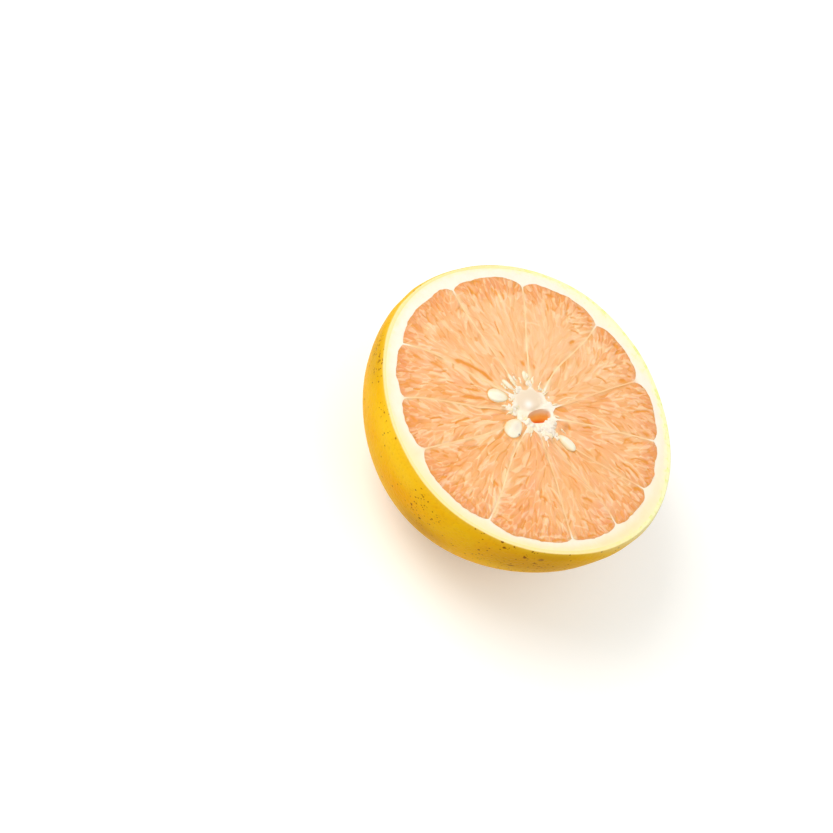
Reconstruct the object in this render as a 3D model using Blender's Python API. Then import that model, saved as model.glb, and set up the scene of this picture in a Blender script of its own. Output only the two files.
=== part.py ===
"""Half a grapefruit, cut across and lying on its rind with the cut face up.

Metres, +Z up. The origin is on the surface that the half rests on, below the middle of the fruit.
The rind is a thin yellow bowl. The white pith lies inside it and grows on into the core and the
membranes, which leave twelve pockets. Each pocket holds one segment of pulp, and the seeds lie
beside the core in the cut face. Pieces that touch keep a small gap.
"""

import math

import bmesh
import bpy
from mathutils import Matrix, Vector

MM = 0.001
GAP = 0.3 * MM

# Outer body: a little wider just below the cut, and flattened where it rests
FACE_RADIUS = 52.0 * MM
BODY_RADIUS = 52.8 * MM
WIDEST_DEPTH = 4.0 * MM
LOWER_HEIGHT = 48.0 * MM
REST_RADIUS = 10.0 * MM
REST_INNER_RADIUS = 6.0 * MM
DIMPLE_DEPTH = 1.0 * MM
RIND_THICKNESS = 1.5 * MM

# The fruit is not quite round: waves around it, their height, and the angle of a crest
ROUNDNESS = (
    (2, 0.2 * MM, 4.0),
    (3, 0.4 * MM, -4.0),
    (4, 0.6 * MM, 7.0),
)

# The pulp is set a little off the middle, and its pockets get narrower towards the base
PULP_CENTRE = Vector((-0.1 * MM, -0.7 * MM))
PULP_RADIUS = 46.9 * MM
POCKET_DEPTH = 45.0 * MM
POCKET_FLOOR_RADIUS = 14.5 * MM
POCKET_FULLNESS = 2.2
RIDGE = 0.045
RIDGE_POWER = 6
CROWN = 0.5 * MM

# The core and its hollow
CORE_CENTRE = Vector((1.2 * MM, -0.6 * MM))
CORE_RADIUS = 7.6 * MM
SEGMENT_TIP = 0.8 * MM
HOLLOW_CENTRE = Vector((4.2 * MM, -0.8 * MM))
HOLLOW_HEADING = 50.0
HOLLOW_RINGS = (
    (-2.0 * MM, 4.9 * MM, 2.2 * MM),
    (2.0 * MM, 4.4 * MM, 2.0 * MM),
    (8.0 * MM, 3.2 * MM, 1.7 * MM),
    (24.0 * MM, 1.8 * MM, 1.2 * MM),
)

# Each membrane: its angle at the pith, its angle at the core, and how far the core
# reaches into the segment that follows it
MEMBRANE = 0.7 * MM
MEMBRANES = (
    (14, 356, 9.0 * MM),
    (38, 25, 8.0 * MM),
    (66, 57, 7.4 * MM),
    (96, 100, 7.2 * MM),
    (133, 136, 7.6 * MM),
    (167, 172, 7.8 * MM),
    (207, 197, 8.2 * MM),
    (231, 236, 8.0 * MM),
    (253, 268, 7.8 * MM),
    (291, 297, 9.0 * MM),
    (328, 321, 10.4 * MM),
    (350, 339, 10.0 * MM),
)

# Seeds: name, middle, length, width, height, heading, and how far the middle lies below the cut
SEEDS = (
    ("seed_1", (-9.3, -7.6), 7.2, 5.0, 4.0, 222, 0.7),
    ("seed_2", (1.6, -11.7), 7.8, 5.8, 4.2, 278, 0.8),
    ("seed_3", (16.5, -0.2), 7.2, 3.9, 3.2, 4, 0.6),
    ("seed_4", (-9.8, 1.1), 5.4, 1.6, 1.4, 164, 0.3),
    ("seed_5", (-9.5, -1.4), 5.4, 2.0, 1.6, 186, 0.3),
    ("seed_6", (-8.1, 6.1), 4.2, 2.0, 1.6, 142, 0.3),
)
SEED_TAPER = 0.35

# How finely the round shapes are drawn
AROUND = 72
DOWN = 8
ARC_STEPS = (0.0, 0.08, 0.2, 0.35, 0.5, 0.65, 0.8, 0.92, 1.0)
HOLLOW_SIDES = 14
SEED_SIDES = 12
SMOOTH_ANGLE = math.radians(35)

REST_LIFT = LOWER_HEIGHT * (1 - math.sqrt(1 - (REST_RADIUS / BODY_RADIUS) ** 2))
HEIGHT = WIDEST_DEPTH + LOWER_HEIGHT - REST_LIFT
WIDEST_Z = HEIGHT - WIDEST_DEPTH
RIND_FLOOR_Z = DIMPLE_DEPTH + RIND_THICKNESS


def clear_scene():
    """Remove every object that the file opened with."""
    for found in list(bpy.data.objects):
        bpy.data.objects.remove(found, do_unlink=True)


def make_material(name, colour, roughness):
    """Return a Principled material with a colour and a roughness."""
    material = bpy.data.materials.new(name)
    material.use_nodes = True
    shader = material.node_tree.nodes["Principled BSDF"]
    shader.inputs["Base Color"].default_value = (*colour, 1.0)
    shader.inputs["Roughness"].default_value = roughness
    shader.inputs["Metallic"].default_value = 0.0
    return material


def add_object(name, shape, material):
    """Turn a bmesh into a named, smooth-shaded object and return it."""
    bmesh.ops.recalc_face_normals(shape, faces=shape.faces)
    mesh = bpy.data.meshes.new(name)
    shape.to_mesh(mesh)
    shape.free()
    mesh.shade_smooth()
    mesh.set_sharp_from_angle(angle=SMOOTH_ANGLE)
    mesh.materials.append(material)
    made = bpy.data.objects.new(name, mesh)
    bpy.context.scene.collection.objects.link(made)
    return made


def make_cutter(made, group):
    """Hide an object and move it into a group of cutters."""
    made.hide_render = True
    made.display_type = "WIRE"
    bpy.context.scene.collection.objects.unlink(made)
    group.objects.link(made)


def add_group(name):
    """Return a new collection in the scene."""
    group = bpy.data.collections.new(name)
    bpy.context.scene.collection.children.link(group)
    return group


def cut_with(made, group):
    """Cut an object with everything in a group."""
    cut = made.modifiers.new("cut_" + group.name, "BOOLEAN")
    cut.operation = "DIFFERENCE"
    cut.operand_type = "COLLECTION"
    cut.collection = group
    cut.solver = "EXACT"


def loft(rings):
    """Return a closed bmesh through rings of equal length, with a cap at each end."""
    shape = bmesh.new()
    drawn = [[shape.verts.new(point) for point in ring] for ring in rings]
    for lower, upper in zip(drawn, drawn[1:]):
        for index in range(len(lower)):
            after = (index + 1) % len(lower)
            shape.faces.new((lower[index], lower[after], upper[after], upper[index]))
    shape.faces.new(reversed(drawn[0]))
    shape.faces.new(drawn[-1])
    return shape


def direction(degrees):
    """Return the unit vector in the plane at an angle."""
    return Vector((math.cos(math.radians(degrees)), math.sin(math.radians(degrees))))


def fruit_ring(z, radius):
    """Return a ring round the fruit, with its waves, which die out towards the base."""
    points = []
    for index in range(AROUND):
        degrees = 360 * index / AROUND
        wave = sum(
            size * math.cos(math.radians(count * (degrees - crest)))
            for count, size, crest in ROUNDNESS
        )
        spot = direction(degrees) * (radius + wave * radius / BODY_RADIUS)
        points.append(Vector((spot.x, spot.y, z)))
    return points


def bowl_rings(skin, bottom_z):
    """Return the rings of the body from bottom_z up to the cut, skin inside the outer surface."""
    height = LOWER_HEIGHT - skin
    lowest = math.asin((WIDEST_Z - bottom_z) / height)
    rings = []
    for step in range(DOWN + 1):
        angle = lowest * (1 - step / DOWN)
        z = WIDEST_Z - height * math.sin(angle)
        rings.append(fruit_ring(z, (BODY_RADIUS - skin) * math.cos(angle)))
    rings.append(fruit_ring(HEIGHT, FACE_RADIUS - skin))
    return rings


def dimple_rings():
    """Return the rings of the scar in its dimple, and the inner edge of the flat it rests on."""
    scar_top = 0.45 * DIMPLE_DEPTH
    return [
        fruit_ring(scar_top, 0.3 * REST_INNER_RADIUS),
        fruit_ring(0.6 * DIMPLE_DEPTH, 0.42 * REST_INNER_RADIUS),
        fruit_ring(DIMPLE_DEPTH, 0.48 * REST_INNER_RADIUS),
        fruit_ring(0.6 * DIMPLE_DEPTH, 0.72 * REST_INNER_RADIUS),
        fruit_ring(0.0, REST_INNER_RADIUS),
    ]


def build_rind(material):
    """Make the yellow rind: a thin bowl with a dimple and a scar underneath."""
    outside = bowl_rings(0.0, 0.0)
    inside = bowl_rings(RIND_THICKNESS, RIND_FLOOR_Z)
    return add_object("rind", loft(dimple_rings() + outside + inside[::-1]), material)


def reach(point, heading, centre, radius):
    """Return where a line from point along heading leaves a circle."""
    offset = point - centre
    along = offset.dot(heading)
    rest = offset.dot(offset) - radius * radius
    return point + heading * (math.sqrt(along * along - rest) - along)


def membrane_line(number):
    """Return a membrane's point at the core and its heading towards the pith."""
    outer, inner, _ = MEMBRANES[number % len(MEMBRANES)]
    start = CORE_CENTRE + direction(inner) * CORE_RADIUS
    end = PULP_CENTRE + direction(outer) * PULP_RADIUS
    return start, (end - start).normalized()


def angle_on_ring(number, radius):
    """Return a membrane's angle around the pulp where it meets a ring."""
    start, heading = membrane_line(number)
    spot = reach(start, heading, PULP_CENTRE, radius) - PULP_CENTRE
    return math.atan2(spot.y, spot.x)


def segment_ring(number, z, radius, clearance):
    """Return a segment's outline at one height, inside its pocket by clearance."""
    side = 0.5 * MEMBRANE + clearance
    left, left_heading = membrane_line(number)
    right, right_heading = membrane_line(number + 1)
    left = left + Vector((-left_heading.y, left_heading.x)) * side
    right = right - Vector((-right_heading.y, right_heading.x)) * side

    from_angle = angle_on_ring(number, radius)
    sweep = (angle_on_ring(number + 1, radius) - from_angle) % math.tau
    corner_radius = radius * (1 - RIDGE) - clearance
    spots = [reach(left, left_heading, PULP_CENTRE, corner_radius) - PULP_CENTRE]
    spots.append(reach(right, right_heading, PULP_CENTRE, corner_radius) - PULP_CENTRE)
    first = (math.atan2(spots[0].y, spots[0].x) - from_angle) % math.tau
    last = (math.atan2(spots[1].y, spots[1].x) - from_angle) % math.tau

    outline = []
    for step in ARC_STEPS:
        angle = first + (last - first) * step
        across = 2 * angle / sweep - 1
        wall = radius * (1 - RIDGE * abs(across) ** RIDGE_POWER)
        wall -= clearance * (1 + 0.4 * abs(across) ** RIDGE_POWER)
        if step in (0.0, 1.0):
            wall = corner_radius
        turned = from_angle + angle
        outline.append(PULP_CENTRE + Vector((math.cos(turned), math.sin(turned))) * wall)

    tip_radius = MEMBRANES[number][2] + clearance
    inner_left = reach(left, left_heading, CORE_CENTRE, tip_radius)
    inner_right = reach(right, right_heading, CORE_CENTRE, tip_radius)
    middle = ((inner_left + inner_right) / 2 - CORE_CENTRE).normalized()
    tip = CORE_CENTRE + middle * (tip_radius - SEGMENT_TIP)
    outline += [inner_right, tip, inner_left]
    return [Vector((spot.x, spot.y, z)) for spot in outline]


def pocket_levels():
    """Return the height and radius of the pockets' wall from the cut down to their floor."""
    power = 2 / POCKET_FULLNESS
    lowest = math.acos((POCKET_FLOOR_RADIUS / PULP_RADIUS) ** (1 / power))
    levels = []
    for step in range(DOWN):
        angle = lowest * step / (DOWN - 1)
        z = HEIGHT - POCKET_DEPTH * math.sin(angle) ** power
        levels.append((z, PULP_RADIUS * math.cos(angle) ** power))
    return levels


def build_pockets(material):
    """Make the twelve cutters that open the pockets, and return their group."""
    group = add_group("pockets")
    for number in range(len(MEMBRANES)):
        rings = [segment_ring(number, HEIGHT + 2 * MM, PULP_RADIUS, 0.0)]
        rings += [segment_ring(number, z, radius, 0.0) for z, radius in pocket_levels()]
        make_cutter(add_object(f"pocket_{number + 1:02d}", loft(rings), material), group)
    return group


def build_hollow(material):
    """Make the cutter for the hollow in the core, and return its group."""
    group = add_group("hollow")
    long_way = direction(HOLLOW_HEADING)
    short_way = direction(HOLLOW_HEADING + 90)
    rings = []
    for depth, half_length, half_width in HOLLOW_RINGS:
        ring = []
        for index in range(HOLLOW_SIDES):
            turn = math.tau * index / HOLLOW_SIDES
            spot = HOLLOW_CENTRE + long_way * half_length * math.cos(turn)
            spot = spot + short_way * half_width * math.sin(turn)
            ring.append(Vector((spot.x, spot.y, HEIGHT - depth)))
        rings.append(ring)
    make_cutter(add_object("hollow_cutter", loft(rings), material), group)
    return group


def seed_shape(middle, length, width, height, heading, depth, grow):
    """Return a bmesh of one seed, pointed at the end towards the core."""
    shape = bmesh.new()
    bmesh.ops.create_uvsphere(shape, u_segments=SEED_SIDES, v_segments=SEED_SIDES * 2 // 3, radius=1.0)
    place = Matrix.Translation((middle[0] * MM, middle[1] * MM, HEIGHT - depth * MM))
    turn = Matrix.Rotation(math.radians(heading), 4, "Z")
    for vert in shape.verts:
        along, around = vert.co.z, vert.co.xy
        thin = 1 - SEED_TAPER * (1 - along) / 2
        own = Vector((
            along * (length * MM / 2 + grow),
            around.x * thin * (width * MM / 2 + grow),
            around.y * thin * (height * MM / 2 + grow),
        ))
        vert.co = place @ turn @ own
    return shape


def build_seeds(material):
    """Make the seeds and, a little larger, the cutters for the places that they sit in."""
    group = add_group("seed_places")
    for name, *sizes in SEEDS:
        add_object(name, seed_shape(*sizes, 0.0), material)
        make_cutter(add_object(name + "_place", seed_shape(*sizes, GAP), material), group)
    return group


def build_pith(material, cutters):
    """Make the white pith with its core and membranes: a solid body with the pockets cut out."""
    skin = RIND_THICKNESS + GAP
    pith = add_object("pith_and_membranes", loft(bowl_rings(skin, RIND_FLOOR_Z + GAP)), material)
    for group in cutters:
        cut_with(pith, group)
    return pith


def build_segment(number, material, seed_places):
    """Make one segment of pulp, with a low crown at the cut."""
    top = segment_ring(number, HEIGHT, PULP_RADIUS - CROWN, GAP + CROWN)
    levels = pocket_levels()
    levels[0] = (HEIGHT - CROWN, PULP_RADIUS)
    rings = [segment_ring(number, z, radius, GAP) for z, radius in levels]
    lowest = [point + Vector((0, 0, GAP)) for point in rings[-1]]
    segment = add_object(f"segment_{number + 1:02d}", loft([top, *rings[:-1], lowest]), material)
    cut_with(segment, seed_places)
    return segment


def main():
    """Build the half grapefruit."""
    clear_scene()
    yellow = make_material("rind", (0.93, 0.55, 0.03), 0.42)
    white = make_material("pith", (0.97, 0.90, 0.72), 0.75)
    orange = make_material("pulp", (0.95, 0.47, 0.22), 0.3)
    cream = make_material("seed", (0.93, 0.88, 0.70), 0.4)

    build_rind(yellow)
    seed_places = build_seeds(cream)
    build_pith(white, (build_pockets(white), build_hollow(white), seed_places))
    for number in range(len(MEMBRANES)):
        build_segment(number, orange, seed_places)


main()
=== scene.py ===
"""Half a grapefruit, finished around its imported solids.

The rind, the white tissue, each segment of pulp and each seed is modelled again with its fine surface,
in the place of its plain solid. Lengths are in millimetres and angles in degrees until a mesh is made.
"""

import functools
import itertools
import logging
import math
from dataclasses import dataclass, field
from enum import Enum

import bmesh
import bpy
import numpy as np
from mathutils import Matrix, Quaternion, Vector, geometry


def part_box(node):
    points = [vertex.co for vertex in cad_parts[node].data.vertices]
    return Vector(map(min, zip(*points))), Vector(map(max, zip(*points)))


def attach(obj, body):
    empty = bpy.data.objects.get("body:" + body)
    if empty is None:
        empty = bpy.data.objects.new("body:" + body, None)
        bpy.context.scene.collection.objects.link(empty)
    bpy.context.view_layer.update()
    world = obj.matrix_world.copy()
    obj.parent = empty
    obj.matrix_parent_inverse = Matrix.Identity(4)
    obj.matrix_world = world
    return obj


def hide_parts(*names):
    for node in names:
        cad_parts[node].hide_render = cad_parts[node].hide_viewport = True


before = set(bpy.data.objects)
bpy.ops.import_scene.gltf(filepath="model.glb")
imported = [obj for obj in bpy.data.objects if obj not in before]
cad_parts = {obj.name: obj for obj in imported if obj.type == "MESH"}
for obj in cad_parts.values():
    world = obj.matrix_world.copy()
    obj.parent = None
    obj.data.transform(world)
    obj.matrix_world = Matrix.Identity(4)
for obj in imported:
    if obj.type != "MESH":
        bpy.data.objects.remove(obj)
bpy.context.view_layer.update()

MM = 0.001
BODY = "root"
TUCK = 0.05
SHARP_ANGLE = 60.0
LOG = logging.getLogger("grapefruit")

Array = np.ndarray
Masks = dict[str, Array]
Pair = tuple[float, float]
Socket = bpy.types.NodeSocket
Value = Socket | str | float | tuple
Colour = tuple[float, float, float, float]


def ease(low: float, high: float, value: Array) -> Array:
    """Return 0 below low, 1 above high, and a smooth rise between them."""
    part = np.clip((value - low) / (high - low), 0.0, 1.0)
    return part * part * (3 - 2 * part)


def mix(first: Array, second: Array, share: Array) -> Array:
    """Return a blend that goes from the first value to the second as share goes from 0 to 1."""
    return first * (1 - share) + second * share


def heading(degrees: float | Array) -> Array:
    """Return the unit vector in the plane at an angle, or one for each angle."""
    return np.stack([np.cos(np.radians(degrees)), np.sin(np.radians(degrees))], -1)


def angle_gap(first: Array, second: float) -> Array:
    """Return how many degrees lie between two headings, the shorter way round."""
    return np.abs((first - second + 180) % 360 - 180)


def seen_from(middle: Pair, way: Array, x: Array, y: Array) -> tuple:
    """Return how far each place lies from a middle along a way, and how far to the left of it."""
    dx, dy = x - middle[0], y - middle[1]
    return dx * way[0] + dy * way[1], dy * way[0] - dx * way[1]


def points_at(wanted: Array, marks: Array, path: Array) -> Array:
    """Return the points of a path where its marks reach the wanted values."""
    return np.stack([np.interp(wanted, marks, path[:, axis]) for axis in range(2)], -1)


def turned(x: Array, y: Array, turn: float) -> tuple[Array, Array]:
    """Return places turned about the origin, by an angle in radians."""
    return x * math.cos(turn) - y * math.sin(turn), x * math.sin(turn) + y * math.cos(turn)


def gap_to(line: Array, x: Array, y: Array) -> Array:
    """Return how far each place is from the nearest point of a line."""
    return np.hypot(x[:, None] - line[:, 0], y[:, None] - line[:, 1]).min(axis=1)


def resample(path: Array, count: int) -> Array:
    """Return count + 1 points evenly spaced along a path of points."""
    steps = np.linalg.norm(np.diff(path, axis=0), axis=1)
    travelled = np.concatenate([[0.0], np.cumsum(steps)])
    return points_at(np.linspace(0.0, travelled[-1], count + 1), travelled, path)


@dataclass(frozen=True)
class Waviness:
    """Smooth random relief, the same at each run.

    Args:
        seed: which random relief it is.
        spacing: the distance between its bumps, in millimetres.
    """

    seed: int
    spacing: float
    cells: int = 32

    def at(self, x: Array, y: Array, z: Array | float = 0.0) -> Array:
        """Return the relief at each place.

        Args:
            x, y, z: the places, in millimetres.

        Returns:
            Values from -1 to 1.
        """
        lattice = np.random.default_rng(self.seed).uniform(-1, 1, (self.cells,) * 3)
        spots = np.stack(np.broadcast_arrays(x, y, z), -1) / self.spacing
        low = np.floor(spots).astype(int)
        part = spots - low
        part = part * part * (3 - 2 * part)
        total = np.zeros(spots.shape[:-1])
        for corner in itertools.product((0, 1), repeat=3):
            share = np.prod(np.where(corner, part, 1 - part), axis=-1)
            index = (low + corner) % self.cells
            total += share * lattice[index[..., 0], index[..., 1], index[..., 2]]
        return total


@dataclass
class Shell:
    """Vertices and faces as they are gathered, before they become a mesh."""

    points: list[Array] = field(default_factory=list)
    faces: list[tuple[int, ...]] = field(default_factory=list)
    count: int = 0

    def add(self, points: Array) -> Array:
        """Add vertices.

        Args:
            points: their places, one row each.

        Returns:
            Their numbers.
        """
        self.points.append(np.asarray(points, float).reshape(-1, 3))
        numbers = np.arange(self.count, self.count + len(self.points[-1]))
        self.count += len(numbers)
        return numbers

    def strip(self, lower: Array, upper: Array, closed: bool = True) -> None:
        """Join two rows of equal length with quads."""
        last = len(lower) if closed else len(lower) - 1
        for index in range(last):
            after = (index + 1) % len(lower)
            self.faces.append((lower[index], lower[after], upper[after], upper[index]))

    def thin_out(self, fine: Array, coarse: Array) -> None:
        """Join a closed row to one with a quarter of its vertices."""
        for index, near in enumerate(coarse):
            far = coarse[(index + 1) % len(coarse)]
            edge = [fine[(4 * index + step) % len(fine)] for step in range(5)]
            self.faces += [(edge[0], edge[1], near), (edge[1], edge[2], near), (edge[2], far, near)]
            self.faces += [(edge[2], edge[3], far), (edge[3], edge[4], far)]

    def cap(self, ring: Array, centre: Array) -> None:
        """Close a ring with triangles to a point."""
        tip = self.add(centre)[0]
        for index in range(len(ring)):
            self.faces.append((ring[index], ring[(index + 1) % len(ring)], tip))

    def join(self, rows: list[Array], first_tip: Array, last_tip: Array) -> None:
        """Join rows of equal length, and close the first and the last with a point."""
        for lower, upper in zip(rows, rows[1:]):
            self.strip(lower, upper)
        self.cap(rows[0], first_tip)
        self.cap(rows[-1], last_tip)

    def hang(self, fine: Array, rings: list[Array], tip: Array) -> None:
        """Hang rings below a fine row and close the last one.

        Args:
            fine: the numbers of the fine row.
            rings: the places of each ring, which has a quarter of that many vertices.
            tip: the place of the point that closes the last ring.
        """
        rows = [self.add(ring) for ring in rings]
        self.thin_out(fine, rows[0])
        for upper, lower in zip(rows, rows[1:]):
            self.strip(upper, lower)
        self.cap(rows[-1], tip)

    def build(self, name: str, masks: Masks) -> bpy.types.Object:
        """Make the mesh object.

        Args:
            name: the name of the piece.
            masks: values for each vertex, by name, for the finish to read.

        Returns:
            The object, linked to the scene.
        """
        mesh = bpy.data.meshes.new(name)
        spots = np.concatenate(self.points) * MM
        mesh.from_pydata(spots.tolist(), [], [tuple(int(number) for number in face) for face in self.faces])
        for label, values in masks.items():
            padded = np.zeros((self.count,) + values.shape[1:])
            padded[: len(values)] = values
            kind, key = ("FLOAT", "value") if values.ndim == 1 else ("FLOAT_VECTOR", "vector")
            slot = mesh.attributes.new(label, kind, "POINT")
            slot.data.foreach_set(key, padded.astype(np.float32).ravel())
        shape = bmesh.new()
        shape.from_mesh(mesh)
        bmesh.ops.recalc_face_normals(shape, faces=shape.faces)
        shape.to_mesh(mesh)
        shape.free()
        mesh.shade_smooth()
        mesh.set_sharp_from_angle(angle=math.radians(SHARP_ANGLE))
        piece = bpy.data.objects.new(name, mesh)
        bpy.context.scene.collection.objects.link(piece)
        return piece


@dataclass(frozen=True)
class FruitForm:
    """The outer shape of the half: nearly round, a little wider below the cut than at it."""

    cut: float
    face_radius: float = 52.0
    body_radius: float = 52.8
    widest_depth: float = 4.0
    lower_height: float = 48.0
    rest_radius: float = 10.0
    rest_inner_radius: float = 6.0
    roundness: tuple[tuple[int, float, float], ...] = ((2, 0.2, 4.0), (3, 0.4, -4.0), (4, 0.6, 7.0))

    @property
    def widest_z(self) -> float:
        """Return the height at which the body is widest."""
        return self.cut - self.widest_depth

    def ring(self, radius: float, angles: Array) -> Array:
        """Return the distance from the axis at each angle, for a ring of that mean radius."""
        wave = sum(
            size * np.cos(np.radians(count * (angles - crest))) for count, size, crest in self.roundness
        )
        return radius + wave * radius / self.body_radius

    def bowl(self, skin: float, bottom_z: float, steps: int) -> list[Pair]:
        """Return mean radius and height down the body's side.

        Args:
            skin: how far inside the outer surface it runs.
            bottom_z: the height at which it ends.
            steps: the number of steps down.

        Returns:
            Pairs from the bottom up to the widest place.
        """
        height = self.lower_height - skin
        lowest = math.asin((self.widest_z - bottom_z) / height)
        turns = [lowest * (1 - step / steps) for step in range(steps + 1)]
        radius = self.body_radius - skin
        return [(radius * math.cos(turn), self.widest_z - height * math.sin(turn)) for turn in turns]


@dataclass(frozen=True)
class Membrane:
    """A membrane between two segments, as it shows on the cut.

    Args:
        outer: its angle at the pith.
        inner: its angle at the core.
        reach: how far the core reaches into the segment that follows it.
        notch: how far the pith reaches inwards along it.
        bow: how far its middle bends sideways.
        sway: how far it bends one way and then the other.
        show: how clearly it stands out from the pulp, from 0 to 1.
    """

    outer: float
    inner: float
    reach: float
    notch: float
    bow: float
    sway: float
    show: float


SEED_TAPER = 0.35
SEED_FULLNESS = 0.845
SEED_SIT = 0.04
SEED_SWELL = 1.12
SOCKET_EDGE = 0.86
SLENDER_WIDTH = 3.0


@dataclass(frozen=True)
class SeedSize:
    """A seed: where its middle lies, its size, the way its blunt end points, and its depth."""

    name: str
    middle: Pair
    length: float
    width: float
    height: float
    heading: float
    depth: float
    seed: int

    @property
    def breadth(self) -> float:
        """Return how broad it is before its taper."""
        return SEED_SWELL * self.width

    @property
    def plump(self) -> bool:
        """Return whether it is full, and not one of the slender ones."""
        return self.width > SLENDER_WIDTH

    @property
    def halves(self) -> Pair:
        """Return how far it rises above its widest outline and how far it reaches below it."""
        rise = min(SEED_FULLNESS * self.height / 2 - self.depth, 0.86) + SEED_SIT
        return rise, SEED_FULLNESS * self.height - rise

    def socket(self, x: Array, y: Array) -> Array:
        """Return how high flesh may stand at each place, so that it meets the seed all round."""
        along, across = seen_from(self.middle, heading(self.heading), x, y)
        along, across = along / (self.length / 2), across / (self.breadth / 2)
        out = np.sqrt(along**2 + (across / (1 - SEED_TAPER * (1 - np.clip(along, -1, 1)) / 2)) ** 2)
        bowl = -SEED_SIT - self.halves[1] * np.sqrt(np.clip(1 - out**2, 0, 1)) - 0.1
        return np.where(out < SOCKET_EDGE, bowl, 0.02 + 0.8 * (out - SOCKET_EDGE))

    def parting_shade(self, x: Array, y: Array) -> Array:
        """Return where painted shade marks the flesh parting from the seed, on the side turned away from the
        core.
        """
        away, aside = seen_from(self.middle, np.array(self.middle) / math.hypot(*self.middle), x, y)
        near = np.exp(-(((self.socket(x, y) - 0.16) / 0.07) ** 2)) * self.plump
        outwards = away / np.maximum(np.hypot(away, aside), 0.1)
        return near * ease(-0.5, 0.6, outwards + 0.5 * Waviness(44, 1.6).at(x, y))


@dataclass(frozen=True)
class CutLayout:
    """Where everything lies on the cut: the membranes, the core and the outer ends of the segments."""

    form: FruitForm
    membranes: tuple[Membrane, ...] = (
        Membrane(14, 356, 9.0, 1.5, -1.4, -0.4, 0.25),
        Membrane(38, 25, 8.4, 1.3, 0.6, 0.2, 0.55),
        Membrane(66, 57, 7.4, 3.2, 0.2, -0.2, 0.25),
        Membrane(96, 100, 7.2, 2.1, 0.5, 0.9, 0.85),
        Membrane(133, 136, 7.6, 2.4, -0.2, 0.3, 0.85),
        Membrane(167, 172, 7.8, 2.2, 0.5, -0.4, 0.60),
        Membrane(207, 197, 8.2, 1.0, -1.7, 0.8, 0.55),
        Membrane(231, 236, 8.0, 1.6, -0.3, 0.6, 0.40),
        Membrane(253, 268, 7.8, 2.1, 1.0, 0.3, 0.50),
        Membrane(291, 297, 9.0, 1.2, -0.4, -0.7, 0.75),
        Membrane(328, 321, 10.4, 1.2, 0.6, 0.4, 0.40),
        Membrane(350, 339, 10.0, 1.4, 0.7, -0.7, 0.25),
    )
    pulp_centre: Pair = (-0.1, -0.7)
    pulp_radius: float = 46.9
    pocket_depth: float = 45.0
    pocket_floor_radius: float = 14.5
    pocket_fullness: float = 2.2
    pocket_levels: int = 7
    ridge_power: int = 6
    core_centre: Pair = (1.2, -0.6)
    core_radius: float = 7.6
    tip: float = 0.9
    membrane_half: float = 0.24
    tremble: float = 0.16
    pith_flare: Pair = (0.55, 1.5)
    core_flare: Pair = (0.20, 2.4)
    swells: tuple[tuple[float, float, float], ...] = (
        (355, 9, 0.6),
        (110, 14, 0.8),
        (155, 8, -0.5),
        (172, 5, 0.4),
        (236, 20, -1.1),
        (250, 7, -0.7),
    )

    def swell(self, angles: float | Array) -> Array:
        """Return how much further out than its mean radius the pulp reaches at each angle."""
        shares = [
            (angle_gap(np.asarray(angles), middle) / spread, size) for middle, spread, size in self.swells
        ]
        return sum(size * np.exp(-(share**2)) for share, size in shares)

    def centreline(self, number: int, count: int = 240) -> Array:
        """Return the middle of a membrane, from the core to the pith, as points."""
        membrane = self.membranes[number % len(self.membranes)]
        start = np.array(self.core_centre) + self.core_radius * heading(membrane.inner)
        end = np.array(self.pulp_centre) + (self.pulp_radius + 1.0) * heading(membrane.outer)
        share = np.linspace(0, 1, count)
        line = start + (end - start) * share[:, None]
        across = np.array([start[1] - end[1], end[0] - start[0]]) / np.linalg.norm(end - start)
        bend = membrane.bow * 4 * share * (1 - share) + membrane.sway * np.sin(math.tau * share)
        tremble = self.tremble * Waviness(40, 3.2).at(line[:, 0], line[:, 1]) * np.sin(math.pi * share)
        return line + across * (bend + tremble)[:, None]

    def edge(self, number: int, hand: int, clearance: float) -> Array:
        """Return one edge of a membrane.

        Args:
            number: which membrane.
            hand: 1 for the edge at larger angles, -1 for the other.
            clearance: how far outside the membrane it runs.

        Returns:
            Points from the core to the pith.
        """
        line = self.centreline(number)
        along = np.gradient(line, axis=0)
        along /= np.linalg.norm(along, axis=1, keepdims=True)
        across = np.stack([-along[:, 1], along[:, 0]], -1)
        travelled = np.concatenate([[0], np.cumsum(np.linalg.norm(np.diff(line, axis=0), axis=1))])
        left = travelled[-1] - travelled
        half = self.membrane_half + 0.06 * Waviness(41, 2.0).at(line[:, 0], line[:, 1], 7.0 * hand)
        half += self.pith_flare[0] * np.exp(-left / self.pith_flare[1])
        half += self.core_flare[0] * np.exp(-travelled / self.core_flare[1])
        return line + across * (hand * (half + clearance))[:, None]

    def outline(
        self, number: int, radius: float, clearance: float, along: int, across: int
    ) -> tuple[Array, Array, Array, Array]:
        """Return the outline of a segment at one height.

        Args:
            number: which segment.
            radius: the radius of the pulp at that height.
            clearance: how far inside its pocket the outline lies.
            along: steps along each side.
            across: steps across each end.

        Returns:
            The side at smaller angles and the outer end, then the side at larger angles and the inner end.
        """
        follower = self.membranes[(number + 1) % len(self.membranes)]
        membrane = self.membranes[number]
        pulp, core = np.array(self.pulp_centre), np.array(self.core_centre)
        sides = []
        for which, hand, side in ((number, 1, membrane), (number + 1, -1, follower)):
            path = self.edge(which, hand, clearance)
            from_core = np.linalg.norm(path - core, axis=1)
            from_pulp = np.linalg.norm(path - pulp, axis=1)
            notch = side.notch - float(self.swell(side.outer))
            corner = radius - notch * radius / self.pulp_radius - clearance
            order = np.arange(len(path))
            first = np.interp(membrane.reach + clearance, from_core, order)
            last = np.interp(corner, from_pulp, order)
            places = np.linspace(first, last, len(path))
            sides.append(resample(points_at(places, order, path), along))
        low_side, high_side = sides

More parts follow.
